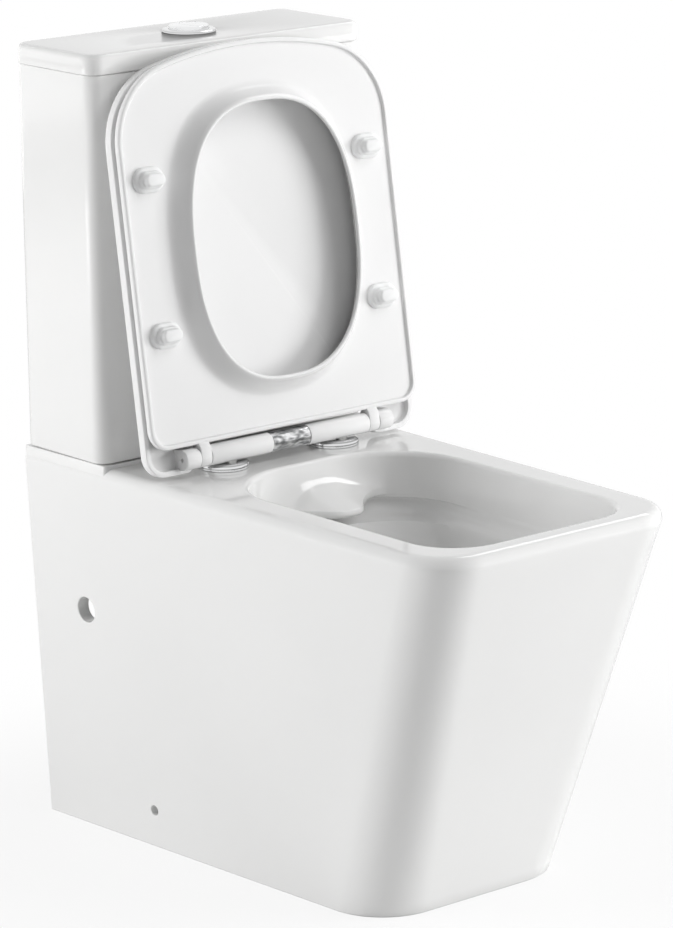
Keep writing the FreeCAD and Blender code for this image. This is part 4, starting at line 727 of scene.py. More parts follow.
    def tongue(self, loop: np.ndarray, fall: float) -> np.ndarray:
        """Shift of a bowl outline towards the front where the flush tongue fills it.

        The tongue's plan is a reach over X: full across the lip, then divided by one plus a power of the
        distance beside it, which curves back to the bowl wall. The apron falls from the rim to that plan
        along one profile, steep at first and flatter towards its lip, so the shift is the reach times a cubic
        share of the fall.

        Args:
            loop: Outline of the bowl at that height.
            fall: Height below the rim.

        Returns:
            The shift of every point.
        """
        share = min(max(fall / self.tongue_drop, 0.0), 1.0)
        beside = softly_positive(np.abs(loop[:, 0]) - self.tongue_half, self.tongue_soft)
        plan = self.bowl_rear + self.tongue_reach / (1 + (beside / self.tongue_flare) ** self.tongue_power)
        reach = softly_positive(plan - (BACK - loop[:, 1]), self.tongue_blend)
        grown = self.apron_start * share + (1 - self.apron_start) * share ** 3
        return np.where(loop[:, 1] > 0, reach, 0.0) * grown

    def bowl_rows(self) -> np.ndarray:
        """Rows from the edge of the deck over the rim, down the wall, past the groove and to the sump.

        Each row is the bowl's outline, grown, at a height. Down to the lip the tongue shifts it to the front
        by a share that rounds the lip over. Below that the groove widens the rear of the outline.

        Returns:
            Points shaped (rows, outline, 3).
        """
        edge, low = self.bowl_edge, DECK - self.tongue_drop - self.tongue_lip
        rows = [level(self.skirt(1, self.rim_round + step)[0], DECK) for step in (0, 1)]
        rows.append(level(self.upper(edge + 1), DECK))
        top = edge + self.apron_top
        fallen = 1 - (1 - np.linspace(0, 1, 24)) ** self.apron_power
        slope = DECK - top - (self.tongue_drop - top) * fallen
        wall = [(grow, z, 1.0) for grow, z in fillet(edge, 90, 0, edge, DECK - edge, 9)]
        down = [(z, self.apron_share) for z in slope] + [(low + rise, share) for rise, share in self.lip_rows]
        wall += [(-self.draft / self.draft_height * (DECK - edge - z), z, share) for z, share in down]
        for grow, z, share in wall:
            loop = self.upper(grow)
            loop[:, 1] -= self.tongue(loop, min(DECK - z, self.tongue_drop)) * share
            rows.append(level(loop, z))
        for grow, depth, z in self.groove_rows:
            loop = self.upper(grow)
            rear = eased((loop[:, 1:] - self.groove_start) / self.groove_span)
            rows.append(level(loop + (self.upper(grow + depth) - loop) * rear, z))
        rows += [level(self.lower(z), z) for z in self.bowl_heights]
        sump = fillet(self.sump_round, 0, -90, self.sump_round, self.sump_height)
        rows += [level(self.lower(max(z, self.sump_floor), -inset), z) for inset, z in sump[1:]]
        return np.stack(rows)

    def shell_rows(self) -> tuple[np.ndarray, np.ndarray]:
        """Rows round the skirt's wall: down the inside, under the foot, up the outside and over the rim.

        Returns:
            The rows and the heights of those on the walls, with those of the inside first.
        """
        heights = np.array([
            *np.arange(14, 71, 4), 90, 120, 150, 180, 206, *np.arange(218, 279, 6), 292, 320, 350, 375,
        ])
        bevel = self.foot_round
        foot, top = self.skirt(0, self.wall)[0], self.skirt(self.under / self.brow, self.wall)[0]
        rows = [level(top, self.under)]
        rows += [level(foot + (top - foot) * z / self.under, z) for z in heights[::-1]]
        rows.append(level(foot, bevel))
        rows += [level(self.skirt(0, inset)[0], 0.0) for inset in (self.wall - bevel, bevel)]
        foot, (top, normal) = self.skirt(0, 0)[0], self.skirt(1, 0)
        rows += [level(foot + (top - foot) * z / self.brow, z) for z in (bevel, *heights)]
        lean = np.arctan(((top - foot) * normal).sum(axis=1) / self.brow)
        for share in np.linspace(0, 1, 11)[:-1]:
            angle = -lean + (np.pi / 2 + lean) * share
            inset = self.rim_round * (1 - np.cos(angle))
            rows.append(level(top - normal * inset[:, None], self.brow + self.rim_round * np.sin(angle)))
        rows.append(level(self.skirt(1, self.rim_round)[0], DECK))
        return np.stack(rows), heights

    def cut(self, skin: Skin, rows: np.ndarray, skip: np.ndarray, heights: np.ndarray, side: Side,
            hole: SideHole) -> None:
        """Open a round hole through one side of the skirt.

        A window of cells is left out of both walls, and rings run from its border to the circle, through the
        wall and back to the border inside. X of a point follows the wall: a bilinear fit to the border.

        Args:
            skin: Skin that takes the rings.
            rows: Rows of the skirt's wall.
            skip: Mask of the cells that are left open.
            heights: Heights of the rows on the walls.
            side: Side of the hole.
            hole: Its place and size.
        """
        middle, outside, period = np.asarray(hole.middle), len(heights) + 5, self.arc + self.edge
        columns = np.arange(self.arc, period) + (2 * period if side is Side.LEFT else 0)
        line = outside + int(np.argmin(np.abs(heights - middle[1])))
        chosen = columns[np.abs(rows[line, columns, 1] - middle[0]) < hole.window]
        first, last = chosen[0], chosen[-1]
        rings = []
        for start, order in ((outside, heights), (1, heights[::-1])):
            lines = start + np.flatnonzero(np.abs(order - middle[1]) < hole.window)
            low, high = lines[0], lines[-1]
            skip[low:high, first:last] = True
            border = np.concatenate([
                rows[low, first:last], rows[low:high, last], rows[high, last:first:-1],
                rows[high:low:-1, first],
            ])
            rings.append(border[np.argsort(bearing(border[:, 1:] - middle))])
        spokes = circle(1.0, bearing(rings[0][:, 1:] - middle))

        def terms(spots: np.ndarray) -> np.ndarray:
            """Terms of the bilinear fit at points of Y and Z."""
            y, z = (spots - middle).T
            return np.stack([np.ones(len(spots)), y, z, y * z], axis=1)

        def on_wall(ring: np.ndarray, spots: np.ndarray, sunk: float = 0.0) -> np.ndarray:
            """Points of Y and Z on the wall of a border ring, sunk into it."""
            fit = np.linalg.lstsq(terms(ring[:, 1:]), ring[:, 0], rcond=None)[0]
            return upright(spots, terms(spots) @ fit - side.value * sunk)

        bands = [rings[0]]
        wide = middle + spokes * (hole.radius + hole.lip)
        for share in (0.35, 0.65, 0.88):
            bands.append(on_wall(rings[0], rings[0][:, 1:] * (1 - share) + wide * share))
        for turn in np.radians(np.linspace(0, 90, 5)):
            spots = middle + spokes * (hole.radius + hole.lip * (1 - math.sin(turn)))
            bands.append(on_wall(rings[0], spots, hole.lip * (1 - math.cos(turn))))
        bands += [on_wall(rings[1], middle + spokes * hole.radius), rings[1]]
        skin.grid(np.stack(bands))

    def trap_rows(self) -> np.ndarray:
        """Rows of the trap: a circle carried along a bent path in the middle plane, outside and back inside.

        Returns:
            Points shaped (rows, circle, 3).
        """
        corners = np.array([BACK, 0.0]) + np.array(self.trap_path) * np.array([-1.0, 1.0])
        path = [corners[:1]]
        for number, radius in enumerate(self.trap_bends, 1):
            triangle = np.concatenate([corners[number - 1:number + 2], np.full((3, 1), radius)], axis=1)
            path.append(rounded(triangle, 14, 0)[0].reshape(3, 14, 2)[1])
        path.append(corners[-1:])
        line = np.concatenate(path)
        way = unit(np.gradient(line, axis=0))
        angle = np.linspace(0, 2 * np.pi, 48, endpoint=False)

        def tube(radius: float, spots: np.ndarray, ways: np.ndarray) -> np.ndarray:
            """Circles square to the path.

            Args:
                radius: Radius of the circles.
                spots: Their middles in Y and Z.
                ways: The way of the path there.

            Returns:
                Points shaped (middles, circle, 3).
            """
            y = spots[:, None, 0] - ways[:, None, 1] * radius * np.sin(angle)
            z = spots[:, None, 1] + ways[:, None, 0] * radius * np.sin(angle)
            return np.stack([np.broadcast_to(radius * np.cos(angle), y.shape), y, z], axis=-1)

        outside, bore = self.trap_outside, self.trap_bore
        mouth = ((outside, 2.0), (outside - 0.6, 0.6), (outside - 2, 0), (bore + 1, 0))
        end = [tube(radius, line[-1:] - way[-1:] * back, way[-1:]) for radius, back in mouth]
        return np.concatenate([tube(outside, line[:-1], way[:-1]), *end, tube(bore, line, way)[::-1]])

    def add_skirt(self, skin: Skin) -> np.ndarray:
        """Add the skirt with its holes and its two edges at the wall.

        Args:
            skin: Skin of the casting.

        Returns:
            The row where its inside meets the deck.
        """
        shell, heights = self.shell_rows()
        first, last = self.open_span
        skip = np.zeros((len(shell) - 1, shell.shape[1]), dtype=bool)
        for side in Side:
            for hole in (self.service, self.fixing):
                self.cut(skin, shell, skip, heights, side, hole)
        skin.grid(shell[:, first:last + 1], around=False, skip=skip[:, first:last])
        skin.cap(shell[:, first])
        skin.cap(shell[:, last])
        return shell[0]

    def add_bowl(self, skin: Skin, inside: np.ndarray) -> None:
        """Add the bowl, its outside under the deck and the deck's edge at the wall.

        Args:
            skin: Skin of the casting.
            inside: Row where the skirt's inside meets the deck.
        """
        bowl = self.bowl_rows()
        skin.grid(bowl)
        skin.cap(bowl[-1])
        below = [inside, level(self.upper(self.bowl_wall), self.under)]
        for z in self.neck_heights:
            below.append(level(self.upper(self.bowl_wall - self.draft * (DECK - z) / self.draft_height), z))
        below += [level(self.lower(z, self.bowl_wall), z) for z in self.belly_heights]
        for inset, z in self.base_rows:
            below.append(level(self.lower(self.sump_floor, self.bowl_wall - inset), z))
        skin.grid(np.stack(below))
        skin.cap(below[-1])
        first, last = self.open_span
        wall_side = np.arange(last, len(inside) + first + 1) % len(inside)
        skin.grid(np.stack([bowl[0][wall_side], inside[wall_side]]), around=False)

    def build(self) -> None:
        """Make the whole casting as one piece."""
        skin = Skin()
        self.add_bowl(skin, self.add_skirt(skin))
        skin.grid(self.trap_rows(), ring=True)
        rear, front, small = BACK - self.platform_gap, self.platform_front, self.wall_corner
        platform = symmetric([
            (self.platform_rear_half, rear, small), (self.platform_front_half, front, self.platform_corner),
        ], 8, 10)
        top = DECK + self.platform_rise - small
        skin.loft(stack(platform, [(0, self.brow), *fillet(small, 0, 90, small, top, 5)]))
        half, bend = self.duct_half, self.duct_round
        duct = symmetric([(half, self.duct_rear, bend), (half, self.duct_front, bend)], 8, 4)
        base = self.under - self.duct_drop
        skin.loft(stack(duct, [(0, self.under + self.duct_sink), *fillet(bend, 0, -90, bend, base, 6)]))
        finish_off(skin.make("pan"), "pan", Finishes.china, "pan_rim", "pan_ledge", "pan_bowl", "pan_skirt",
                   "pan_trap", "pan_side_left", "pan_side_right")


@dataclass
class Tank:
    """The tank and its lid."""

    width: float = 362.0
    depth: float = 136.0
    base: float = 416.6
    height: float = 410.0
    wall: float = 9.0
    floor: float = 12.0
    corner: float = 16.0
    floor_round: float = 6.0
    rim_round: float = 1.5
    base_round: float = 1.8
    band: float = 30.0
    inner_band: float = 40.0
    overhang: float = 1.0
    nose: float = 2.0
    lid_height: float = 21.0
    lid_plate: float = 11.0
    lid_round: float = 6.0
    lid_edge: float = 1.5
    rib_inset: float = 12.0
    rib_width: float = 5.0
    rib_depth: float = 7.0
    rest: float = 0.3
    hole: float = 23.3

    # Lower edge of the lid's rib and edge of its hole: distance from the side and from the face
    rib_edge: Profile = ((0.5, 0.5), (1.0, 0.0))
    hole_edge: Profile = ((1.5, 0.0), (0.4, 0.4), (0.0, 1.5))

    def box(self, grow: float = 0.0, nose: float = 0.0) -> Outline:
        """Rounded oblong of the tank, grown at each side and, by a nose, at the front."""
        half, front, radius = self.width / 2 + grow, BACK - self.depth - nose, self.corner + grow
        return symmetric([(half, BACK, radius), (half, front, radius)], 14, 24)

    def build(self) -> None:
        """Make the tank, an open box with a filleted floor and softened rims, and its lid."""
        top, floor = self.base + self.height, self.base + self.floor
        lip, foot, bend = self.rim_round, self.base_round, self.floor_round
        skin = Skin()
        skin.loft(stack(self.box(), [
            *fillet(bend, -90, 0, self.wall + bend, floor + bend, 6), (self.wall, floor + self.inner_band),
            (self.wall, top - lip), *fillet(lip, 180, 90, self.wall - lip, top - lip, 5),
            *fillet(lip, 90, 0, lip, top - lip, 5), (0, top - self.band), (0, self.base + self.band),
            *fillet(foot, 0, -90, foot, self.base + foot, 5),
        ]))
        finish_off(skin.make("tank"), "pan", Finishes.china, "tank")
        self.build_lid(top + self.rest)

    def build_lid(self, base: float) -> None:
        """Make the lid: a plate with a rounded top, a hollow underside, a rib and the hole of the buttons.

        Args:
            base: Height of its lower edge.
        """
        outline = self.box(self.overhang, self.nose)
        top, low, edge, bend = base + self.lid_height, base - self.rib_depth, self.lid_edge, self.lid_round
        ceiling, near, far = top - self.lid_plate, self.rib_inset, self.rib_inset + self.rib_width
        rows = list(stack(outline, [
            (far, ceiling), *((far - inset, low + rise) for inset, rise in self.rib_edge),
            *((near + inset, low + rise) for inset, rise in reversed(self.rib_edge)), (near, base),
            *fillet(edge, -90, 0, edge, base + edge, 5), *fillet(bend, 0, 90, bend, top - bend, 11),
            (bend + 2, top),
        ]))
        middle = np.array([0.0, VALVE_LINE])
        spin = bearing(outline[0] - middle)
        for grow, sunk in (*self.hole_edge, (0.0, self.lid_plate)):
            rows.append(level(middle + circle(self.hole + grow, spin), top - sunk))
        skin = Skin()
        skin.grid(np.stack(rows), ring=True)
        finish_off(skin.make("tank_lid"), "tank_lid", Finishes.china, "tank_lid")


@dataclass
class Buttons:
    """The bezel on the tank lid and the two flush buttons parted by an arc."""

    top: float = 847.9
    bezel: float = 29.0
    bore: float = 21.6
    tube: float = 22.8
    tube_length: float = 27.0
    disc: float = 21.2
    rise: float = 7.2
    depth: float = 7.0
    split: float = 26.0
    shift: float = 20.0
    gap: float = 0.4
    edge_round: float = 1.2
    tip_fade: float = 7.0
    disc_points: int = 60
    seam_points: int = 40

    # Edges of the bezel's flange: distance from its outside or its bore, and height over the lid
    outer_edge: Profile = ((0.3, 0.0), (0.0, 0.3), (0.0, 1.4), (0.5, 2.3), (1.6, 3.0), (2.6, 3.2))
    inner_edge: Profile = ((1.0, 3.2), (0.3, 3.0), (0.0, 2.4))

    def crescent(self, split: float, far: bool) -> np.ndarray:
        """Outline of a button: the disc's arc closed by the arc of the split circle.

        Args:
            split: Radius of the split circle.
            far: Whether the button is the part outside that circle.

        Returns:
            Points of the outline, with the disc's arc first.
        """
        meet = (self.disc ** 2 - split ** 2 + self.shift ** 2) / (2 * self.shift)
        rise = math.sqrt(self.disc ** 2 - meet ** 2)
        edge, seam = math.atan2(rise, meet), math.atan2(rise, meet - self.shift)
        disc = np.linspace(edge if far else -edge, 2 * np.pi - edge if far else edge, self.disc_points)
        back = np.linspace(seam, 2 * np.pi - seam, self.seam_points)[1:-1]
        inner = circle(split, back[::-1] if far else back) + np.array([self.shift, 0.0])
        return np.concatenate([circle(self.disc, disc), inner]) + np.array([0.0, VALVE_LINE])

    def build(self) -> None:
        """Make the bezel and both buttons."""
        profile = [(self.bore, self.top - self.tube_length), (self.tube, self.top - self.tube_length)]
        profile.append((self.tube, self.top))
        profile += [(self.bezel - inset, self.top + height) for inset, height in self.outer_edge]
        profile += [(self.bore + grow, self.top + height) for grow, height in self.inner_edge]
        skin = Skin()
        skin.grid(turned(profile, (0, VALVE_LINE, 0), 128), ring=True)
        finish_off(skin.make("button_bezel", 30), "tank_lid", Finishes.bezel_chrome, "button_bezel")
        bend, rim = self.edge_round, self.top + self.rise - self.edge_round
        halves = (("half_button", self.split, True), ("full_button", self.split - self.gap, False))
        for name, split, far in halves:
            loop = self.crescent(split, far)
            normals, fade = faded_normals(loop, loop[[0, self.disc_points - 1]], self.tip_fade)
            edge = [(inset * fade, z) for inset, z in fillet(bend, 0, 90, bend, rim, 6)]
            skin = Skin()
            skin.loft(stack((loop, normals), [(0, self.top - self.depth), *edge]))
            finish_off(skin.make(name), name, Finishes.button_chrome, name)


@dataclass
class Hinge:
    """Rosettes on the deck, the bar between the ears and the release button."""

    post: float = 75.0
    rosette: float = 27.0
    rosette_height: float = 8.0
    rosette_shift: float = 13.0
    bar: float = 11.0
    bar_half: float = 107.0
    socket: float = 7.6
    socket_depth: float = 23.0
    core: float = 5.0
    button_half: float = 25.0
    button_gap: float = 0.4
    button_bevel: float = 0.7
    slot_front: float = 8.3
    slot_gap: float = 0.2
    tip_fade: float = 5.0
    arc_points: int = 73

    # Edges of a rosette and of the bar's halves: distance from the outside and from the face
    rosette_foot: Profile = ((0.4, 0.0), (0.0, 0.4))
    rosette_edge: Profile = ((0.0, 3.4), (0.35, 2.6), (2.2, 0.6), (3.2, 0.1), (4.2, 0.0))
    neck_edge: Profile = ((0.8, 0.0), (0.2, 0.25), (0.0, 0.9))
    end_edge: Profile = ((0.0, 0.9), (0.25, 0.25), (0.9, 0.0))

    def build(self) -> None:
        """Make the rosettes, the bar and the button."""
        top, wide = self.rosette_height, self.rosette
        foot = [(wide - inset, rise) for inset, rise in self.rosette_foot]
        edge = [(wide - inset, top - depth) for inset, depth in self.rosette_edge]
        profile = [(0, 0), *foot, *edge, (0, top)]
        for side in Side:
            skin = Skin()
            skin.grid(turned(profile, (side.value * self.post, HINGE_Y + self.rosette_shift, DECK), 128))
            name = f"hinge_rosette_{side.word}"
            finish_off(skin.make(name, 30), "pan", Finishes.rosette_chrome, name)
        neck, end = self.button_half + self.button_gap, self.bar_half
        bottom = end - self.socket_depth
        half = [
            (self.core, neck), *((self.bar - inset, neck + depth) for inset, depth in self.neck_edge),
            *((self.bar - inset, end - depth) for inset, depth in self.end_edge), (self.socket, end),
            (self.socket, bottom), (0, bottom),
        ]
        profile = [(radius, -x) for radius, x in reversed(half)] + half
        skin = Skin()
        skin.grid(turned(profile, (0, HINGE_Y, HINGE_Z), along=0))
        finish_off(skin.make("hinge_bar"), "hinge_bar", Finishes.seat_plastic, "hinge_bar")
        self.build_button()

    def build_button(self) -> None:
        """Make the button: a C-shaped bar along X, open at the back, round the core.

        The section runs along the outer circle and back along the slot, which is the box cut by the same
        rays: the nearer of the slot's side and its front wall. Its bevel fades out towards the two tips.
        """
        tall, count = self.core + self.slot_gap, self.arc_points
        start = math.asin(tall / self.bar)
        ray = circle(1.0, np.linspace(start, 2 * np.pi - start, count))
        slot = np.minimum(tall / np.abs(ray[:, 1]).clip(1e-6), self.slot_front / (-ray[:, 0]).clip(1e-6))
        loop = np.concatenate([self.bar * ray, (slot[:, None] * ray)[::-1]])
        normals, fade = faded_normals(loop, self.bar * ray[[0, -1]], self.tip_fade)
        half, bevel, centre = self.button_half, self.button_bevel, np.array([HINGE_Y, HINGE_Z])
        ends = ((bevel, -half), (0, bevel - half), (0, half - bevel), (bevel, half))
        rows = [upright(loop + centre - normals * fade[:, None] * inset, x) for inset, x in ends]
        skin = Skin()
        skin.grid(np.stack(rows))
        for row in (rows[0], rows[-1]):
            skin.grid(np.stack([row[:count], row[count:][::-1]]), around=False)
        finish_off(skin.make("release_button"), "release_button", Finishes.chrome, "release_button")


@dataclass
class Seat:
    """The seat ring with its lip, collar, ears and bumpers, given shut about the hinge axis."""

    half: float = 180.0
    reach: float = 422.0
    rear: float = 14.0
    drop: float = 7.0
    thickness: float = 9.0
    top_round: float = 3.5
    low_round: float = 2.5
    front_angle: float = 13.0
    front_round: float = 490.0
    corner: float = 85.0
    rear_round: float = 22.0
    lip: float = 5.0
    lip_land: float = 3.8
    lip_round: float = 1.0
    recess: float = 3.5
    opening_half: float = 107.0
    opening_rear: float = 70.0
    opening_end: float = 358.0
    squareness: float = 2.5
    collar: float = 20.5
    collar_base: float = 22.0
    collar_bead: float = 2.2
    undercut: float = 15.0
    undercut_round: float = 3.0
    ear_inner: float = 107.5
    ear_outer: float = 121.0
    bumper_shift: float = 146.0
    bumper_half: Pair = (19.0, 13.5)
    bumper_round: float = 13.0
    bumper_places: tuple[tuple[str, float], ...] = (("rear", 132.0), ("front", 293.0))

    # Foot of the lip: distance from the lip and depth below the flat underside
    lip_foot: Profile = ((0.2, 1.0), (0.5, 0.3), (1.2, 0.0))
    # Section of an ear: Y, Z and radius of its corners
    ear: Triples = (
        (-17, -5.5, 1), (-10, -10, 6), (11, -11, 10.4), (11, 11, 10.98), (-5, 11, 5), (-18, -1, 1),
    )
    # Steps of a bumper: inset and height over the seat's flat underside
    bumper_steps: Profile = (
        (0, 0), (0.3, 3.2), (0.8, 4.2), (1.8, 4.9), (3.0, 5.2), (3.9, 5.6), (4.3, 6.6), (4.6, 9.2),
        (5.0, 10.0), (5.8, 10.4), (6.4, 10.8), (6.7, 11.8), (7.0, 14.4), (7.4, 15.3), (8.2, 15.9),
        (9.2, 16.2),
    )

    @property
    def flat(self) -> float:
        """Height of the flat underside within the lip."""
        return self.recess - self.drop

    @property
    def middle(self) -> float:
        """Hinge axis to the middle of the opening."""
        return (self.opening_end + self.opening_rear) / 2

    def front(self, half: float) -> Triples:
        """Corners of the bowed front from right to left.

        Args:
            half: Half the width behind the front corners.

        Returns:
            Corners as x, y and radius.
        """
        slope = math.radians(self.front_angle)
        tip = self.reach + self.front_round * (1 / math.cos(slope) - 1)
        flank = -(tip - half * math.tan(slope))
        return [(half, flank, self.corner), (0, -tip, self.front_round), (-half, flank, self.corner)]

    def opening(self, angle: np.ndarray, grow: float) -> np.ndarray:
        """Opening as a superellipse over the angle from its middle: |x/a|^n + |y/b|^n = 1.

        Args:
            angle: Angles of the points.
            grow: Distance that both half axes a and b are grown.

        Returns:
            Points of the opening.
        """
        a, b = self.opening_half + grow, (self.opening_end - self.opening_rear) / 2 + grow
        n = self.squareness
        radius = (np.abs(np.cos(angle) / a) ** n + np.abs(np.sin(angle) / b) ** n) ** (-1 / n)
        return circle(radius, angle) - np.array([0.0, self.middle])

    def ring_rows(self) -> np.ndarray:
        """Rows round the seat's section.

        They run over the outer edge, under the lip, across the flat, up the collar, whose height is the
        square of the share across it, over its bead, up the inner wall that leans away, and over the top.

        Returns:
            Points shaped (rows, outline, 3).
        """
        rear = [(x, -self.rear, self.rear_round) for x in (-self.half, self.half)]
        outline = rounded([*rear, *self.front(self.half)], 26, 34)
        angle = bearing(outline[0] + np.array([0.0, self.middle]))
        top, low, flat = self.thickness - self.drop, -self.drop, self.flat
        rows = list(stack(outline, [
            *fillet(self.top_round, 90, 0, self.top_round, top - self.top_round, 7),
            *fillet(self.low_round, 0, -90, self.low_round, low + self.low_round, 6),
            *fillet(self.lip_round, 270, 180, self.lip_land, low + self.lip_round, 4),
            *((self.lip + grow, flat - depth) for grow, depth in self.lip_foot),
        ]))
        bead, bend, peak = self.collar_bead, self.undercut_round, flat - self.collar
        span = self.collar_base - 2 * bead + 0.2
        inside = [(self.collar_base + 4, flat)]
        share = np.linspace(0, 0.95, 16)
        inside += zip(self.collar_base - span * share, flat - self.collar * share ** 2)
        inside += fillet(bead, 206, 360, bead, peak + bead, 9)
        inside += [(0.4, peak + 4.0), (self.undercut * 0.5, (peak + top) / 2), (self.undercut - 1, top - 4)]
        inside += fillet(bend, 0, 90, self.undercut + bend, top - bend, 6)
        inside.append((self.undercut + 2 * bend, top))
        rings = [level(self.opening(angle, grow), height) for grow, height in inside]
        across = [rows[-1] + (rings[0] - rows[-1]) * part for part in (0.03, 0.5, 0.97)]
        back = [rings[-1] + (rows[0] - rings[-1]) * part for part in (0.04, 0.5, 0.96)]
        return np.stack([*rows, *across, *rings, *back])

    def build(self) -> None:
        """Make the ring with its ears, and the four bumpers."""
        skin = Raised()
        skin.grid(self.ring_rows(), ring=True)
        ear = rounded(self.ear, 12, 3)
        for side in Side:
            prism(skin, ear, side.value * self.ear_inner, side.value * self.ear_outer)
        finish_off(skin.make("seat"), "seat", Finishes.seat_plastic, "seat")
        steps = [(inset, self.flat - height) for inset, height in self.bumper_steps]
        wide, deep = self.bumper_half
        for row, reach in self.bumper_places:
            for side in Side:
                middle = side.value * self.bumper_shift
                signs = ((1, 1), (1, -1), (-1, -1), (-1, 1))
                corners = [(middle + x * wide, -reach + y * deep, self.bumper_round) for x, y in signs]
                pad = Raised()
                pad.loft(stack(rounded(corners, 14, 6), steps))
                name = f"seat_bumper_{row}_{side.word}"
                finish_off(pad.make(name), "seat", Finishes.bumper_gel, name)


@dataclass
class Lid:
    """The lid with its hollow underside and the lugs in its rear corners, given shut about the hinge axis."""

    seat: Seat
    half: float = 181.0
    tail: float = 15.0
    tail_round: float = 24.0
    notch: float = 121.5
    notch_edge: float = 15.0
    notch_round: float = 9.0
    notch_fillet: float = 3.0
    under: float = 5.0
    top: float = 18.0
    top_round: float = 5.0
    low_round: float = 1.2
    hollow: float = 7.0
    border: float = 14.0
    border_start: float = 40.0
    border_span: float = 60.0
    corner_wall: float = 6.0
    lug: float = 11.0
    lug_top: float = 14.0
    lug_round: float = 1.5
    lug_inner: float = 121.5
    lug_outer: float = 140.0
    lug_bore: Pair = (2.2, 9.0)

    # Edges of the hollow and of the border: distance from the side and from the face
    hollow_edge: Profile = ((2.0, 0.0), (0.6, 0.6), (0.0, 2.0))
    border_edge: Profile = ((0.0, 1.0), (0.3, 0.3), (1.0, 0.0))

    def build(self) -> None:
        """Make the plate, hollow underneath within a border, and the lugs with their small end holes.

        The border widens from the corner wall to its full width over a span in front of the hinge, eased.
        """
        skin = Raised()
        left = [
            (-self.half, self.tail, self.tail_round), (-self.notch, self.tail, self.notch_round),
            (-self.notch, -self.notch_edge, self.notch_fillet),
        ]
        right = [(-x, y, radius) for x, y, radius in reversed(left)]
        plate = rounded([*left, *right, *self.seat.front(self.half)], 20, 24)
        step = eased((-plate[0][:, 1] - self.border_start) / self.border_span)
        wall = self.corner_wall + (self.border - self.corner_wall) * step
        under, roof, low, high = self.under, self.under + self.hollow, self.low_round, self.top_round
        skin.loft(stack(plate, [
            *((wall + grow, roof - depth) for grow, depth in self.hollow_edge),
            *((wall - inset, under + rise) for inset, rise in self.border_edge),
            *fillet(low, -90, 0, low, under + low, 5), *fillet(high, 0, 90, high, self.top - high, 9),
        ]))
        r, bend = self.lug, self.lug - 0.02
        corners = ((-r, -r, bend), (r, -r, bend), (r, self.lug_top, self.lug_round))
        lug = rounded([*corners, (-r, self.lug_top, self.lug_round)], 16, 6)
        for side in Side:
            prism(skin, lug, side.value * self.lug_inner, side.value * self.lug_outer, bore=self.lug_bore)
        finish_off(skin.make("lid"), "lid", Finishes.seat_plastic, "lid")


@dataclass(frozen=True)
class SoftBox:
    """A soft box in metres and watts, with where it points and whether glossy surfaces mirror it."""

    name: str
    place: Triple
    size: Pair
    power: float
    aim: Triple = (0.0, 0.0, 0.4)
    mirrored: bool = False

    def hang(self) -> None:
        """Hang the lamp and point it at its aim."""
        light = bpy.data.lights.new(self.name, "AREA")
        light.shape = "RECTANGLE"
        light.size, light.size_y = self.size
        light.energy = self.power
        lamp = bpy.data.objects.new(self.name, light)
        lamp.location = self.place
        lamp.rotation_euler = (Vector(self.aim) - Vector(self.place)).to_track_quat("-Z", "Y").to_euler()
        lamp.visible_glossy = self.mirrored
        bpy.context.scene.collection.objects.link(lamp)


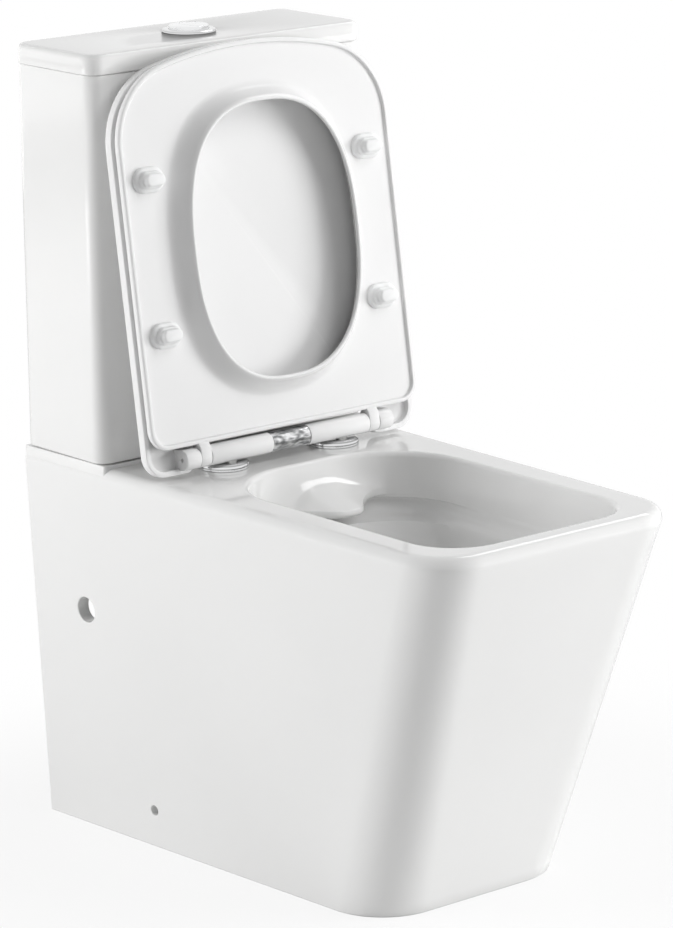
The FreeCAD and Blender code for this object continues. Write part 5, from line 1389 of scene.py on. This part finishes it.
@dataclass
class Studio:
    """Floor, soft light and the camera, in metres."""

    floor_reach: float = 4.0
    floor_grey: float = 0.9
    fade_start: float = 0.3
    fade_stop: float = 0.8
    white_share: float = 0.84
    room_light: float = 0.19
    lens: float = 167.19
    sensor: float = 36.0
    shift: Pair = (-0.0264, 0.0105)
    roll: float = -0.71
    place: Triple = (-2.7811, -3.3303, 1.5162)
    aim: Triple = (-0.0115, -0.0297, 0.42)
    lamps: tuple[SoftBox, ...] = (
        SoftBox("left_box", (-3.2, 1.9, 1.2), (1.8, 2.6), 109),
        SoftBox("right_box", (3.05, -2.9, 0.85), (2.4, 1.6), 110),
        SoftBox("top_box", (1.2, -1.9, 2.8), (1.8, 1.8), 43, aim=(0.0, -0.05, 0.4)),
        SoftBox("glint_box", (1.9, 0.5, 2.6), (0.8, 1.5), 11, mirrored=True),
    )

    def lay_floor(self) -> None:
        """Lay a pale floor that keeps the shadow of the object and fades into the white of the room."""
        mesh = bpy.data.meshes.new("floor")
        corners = self.floor_reach * np.array([(-1, -1, 0), (1, -1, 0), (1, 1, 0), (-1, 1, 0)])
        mesh.from_pydata(corners.tolist(), [], [(0, 1, 2, 3)])
        floor = bpy.data.objects.new("floor", mesh)
        bpy.context.scene.collection.objects.link(floor)
        material = bpy.data.materials.new("pale_floor")
        material.use_nodes = True
        tree = material.node_tree
        tree.nodes.remove(tree.nodes["Principled BSDF"])
        matte, clear, mix, path = fresh(tree, "BsdfDiffuse", "BsdfTransparent", "MixShader", "LightPath")
        place, far, fade, seen = fresh(tree, "TexCoord", "VectorMath", "MapRange", "Math")
        preset(matte, {"Color": (self.floor_grey, self.floor_grey, self.floor_grey, 1)})
        far.operation, seen.operation, fade.interpolation_type = "LENGTH", "MULTIPLY", "SMOOTHSTEP"
        preset(fade, {"From Min": self.fade_start, "From Max": self.fade_stop, "To Min": self.white_share})
        wire(
            tree,
            (place, "Object", far, 0), (far, "Value", fade, "Value"), (fade, "Result", seen, 0),
            (path, "Is Camera Ray", seen, 1), (seen, "Value", mix, "Fac"), (matte, "BSDF", mix, 1),
            (clear, "BSDF", mix, 2), (mix, "Shader", tree.nodes["Material Output"], "Surface"),
        )
        mesh.materials.append(material)

    def light_room(self) -> None:
        """Light the room evenly, show it white to the camera and in reflections, and hang the lamps."""
        world = bpy.data.worlds.new("white_room")
        world.use_nodes = True
        tree = world.node_tree
        path, either, seen, strength = fresh(tree, "LightPath", "Math", "Math", "MapRange")
        background = tree.nodes["Background"]
        either.operation = seen.operation = "MAXIMUM"
        preset(strength, {"To Min": self.room_light})
        preset(background, {"Color": (1, 1, 1, 1)})
        wire(
            tree,
            (path, "Is Camera Ray", either, 0), (path, "Is Glossy Ray", either, 1),
            (either, "Value", seen, 0), (path, "Is Transmission Ray", seen, 1),
            (seen, "Value", strength, "Value"), (strength, "Result", background, "Strength"),
        )
        bpy.context.scene.world = world
        for lamp in self.lamps:
            lamp.hang()

    def stand_camera(self) -> None:
        """Stand the camera where the photographer stood: angle, distance, frame shift and slight roll."""
        view = bpy.data.cameras.new("camera")
        view.lens, view.sensor_width, view.clip_end = self.lens, self.sensor, 100.0
        view.shift_x, view.shift_y = self.shift
        camera = bpy.data.objects.new("camera", view)
        look = (Vector(self.aim) - Vector(self.place)).to_track_quat("-Z", "Y").to_matrix()
        camera.location = self.place
        camera.rotation_euler = (look @ Matrix.Rotation(math.radians(self.roll), 3, "Z")).to_euler()
        bpy.context.scene.collection.objects.link(camera)
        bpy.context.scene.camera = camera

    def build(self) -> None:
        """Set floor, light, camera and view."""
        self.lay_floor()
        self.light_room()
        self.stand_camera()
        bpy.context.scene.view_settings.view_transform = "Standard"


def dress_frame() -> None:
    """Give every node that stays its finish by its material slot."""
    for part in frame["record"]["subparts"]:
        node = frame["nodes"][part["node"]]
        node.data.materials.clear()
        node.data.materials.append(Finishes[part["material_slot"]].value.material())


def main() -> None:
    """Build the pieces in order."""
    logging.basicConfig(level=logging.INFO, format="%(message)s")
    dress_frame()
    seat = Seat()
    for assembly in (Pan(), Tank(), Buttons(), Hinge(), seat, Lid(seat), Studio()):
        assembly.build()


if __name__ == "__main__":
    main()
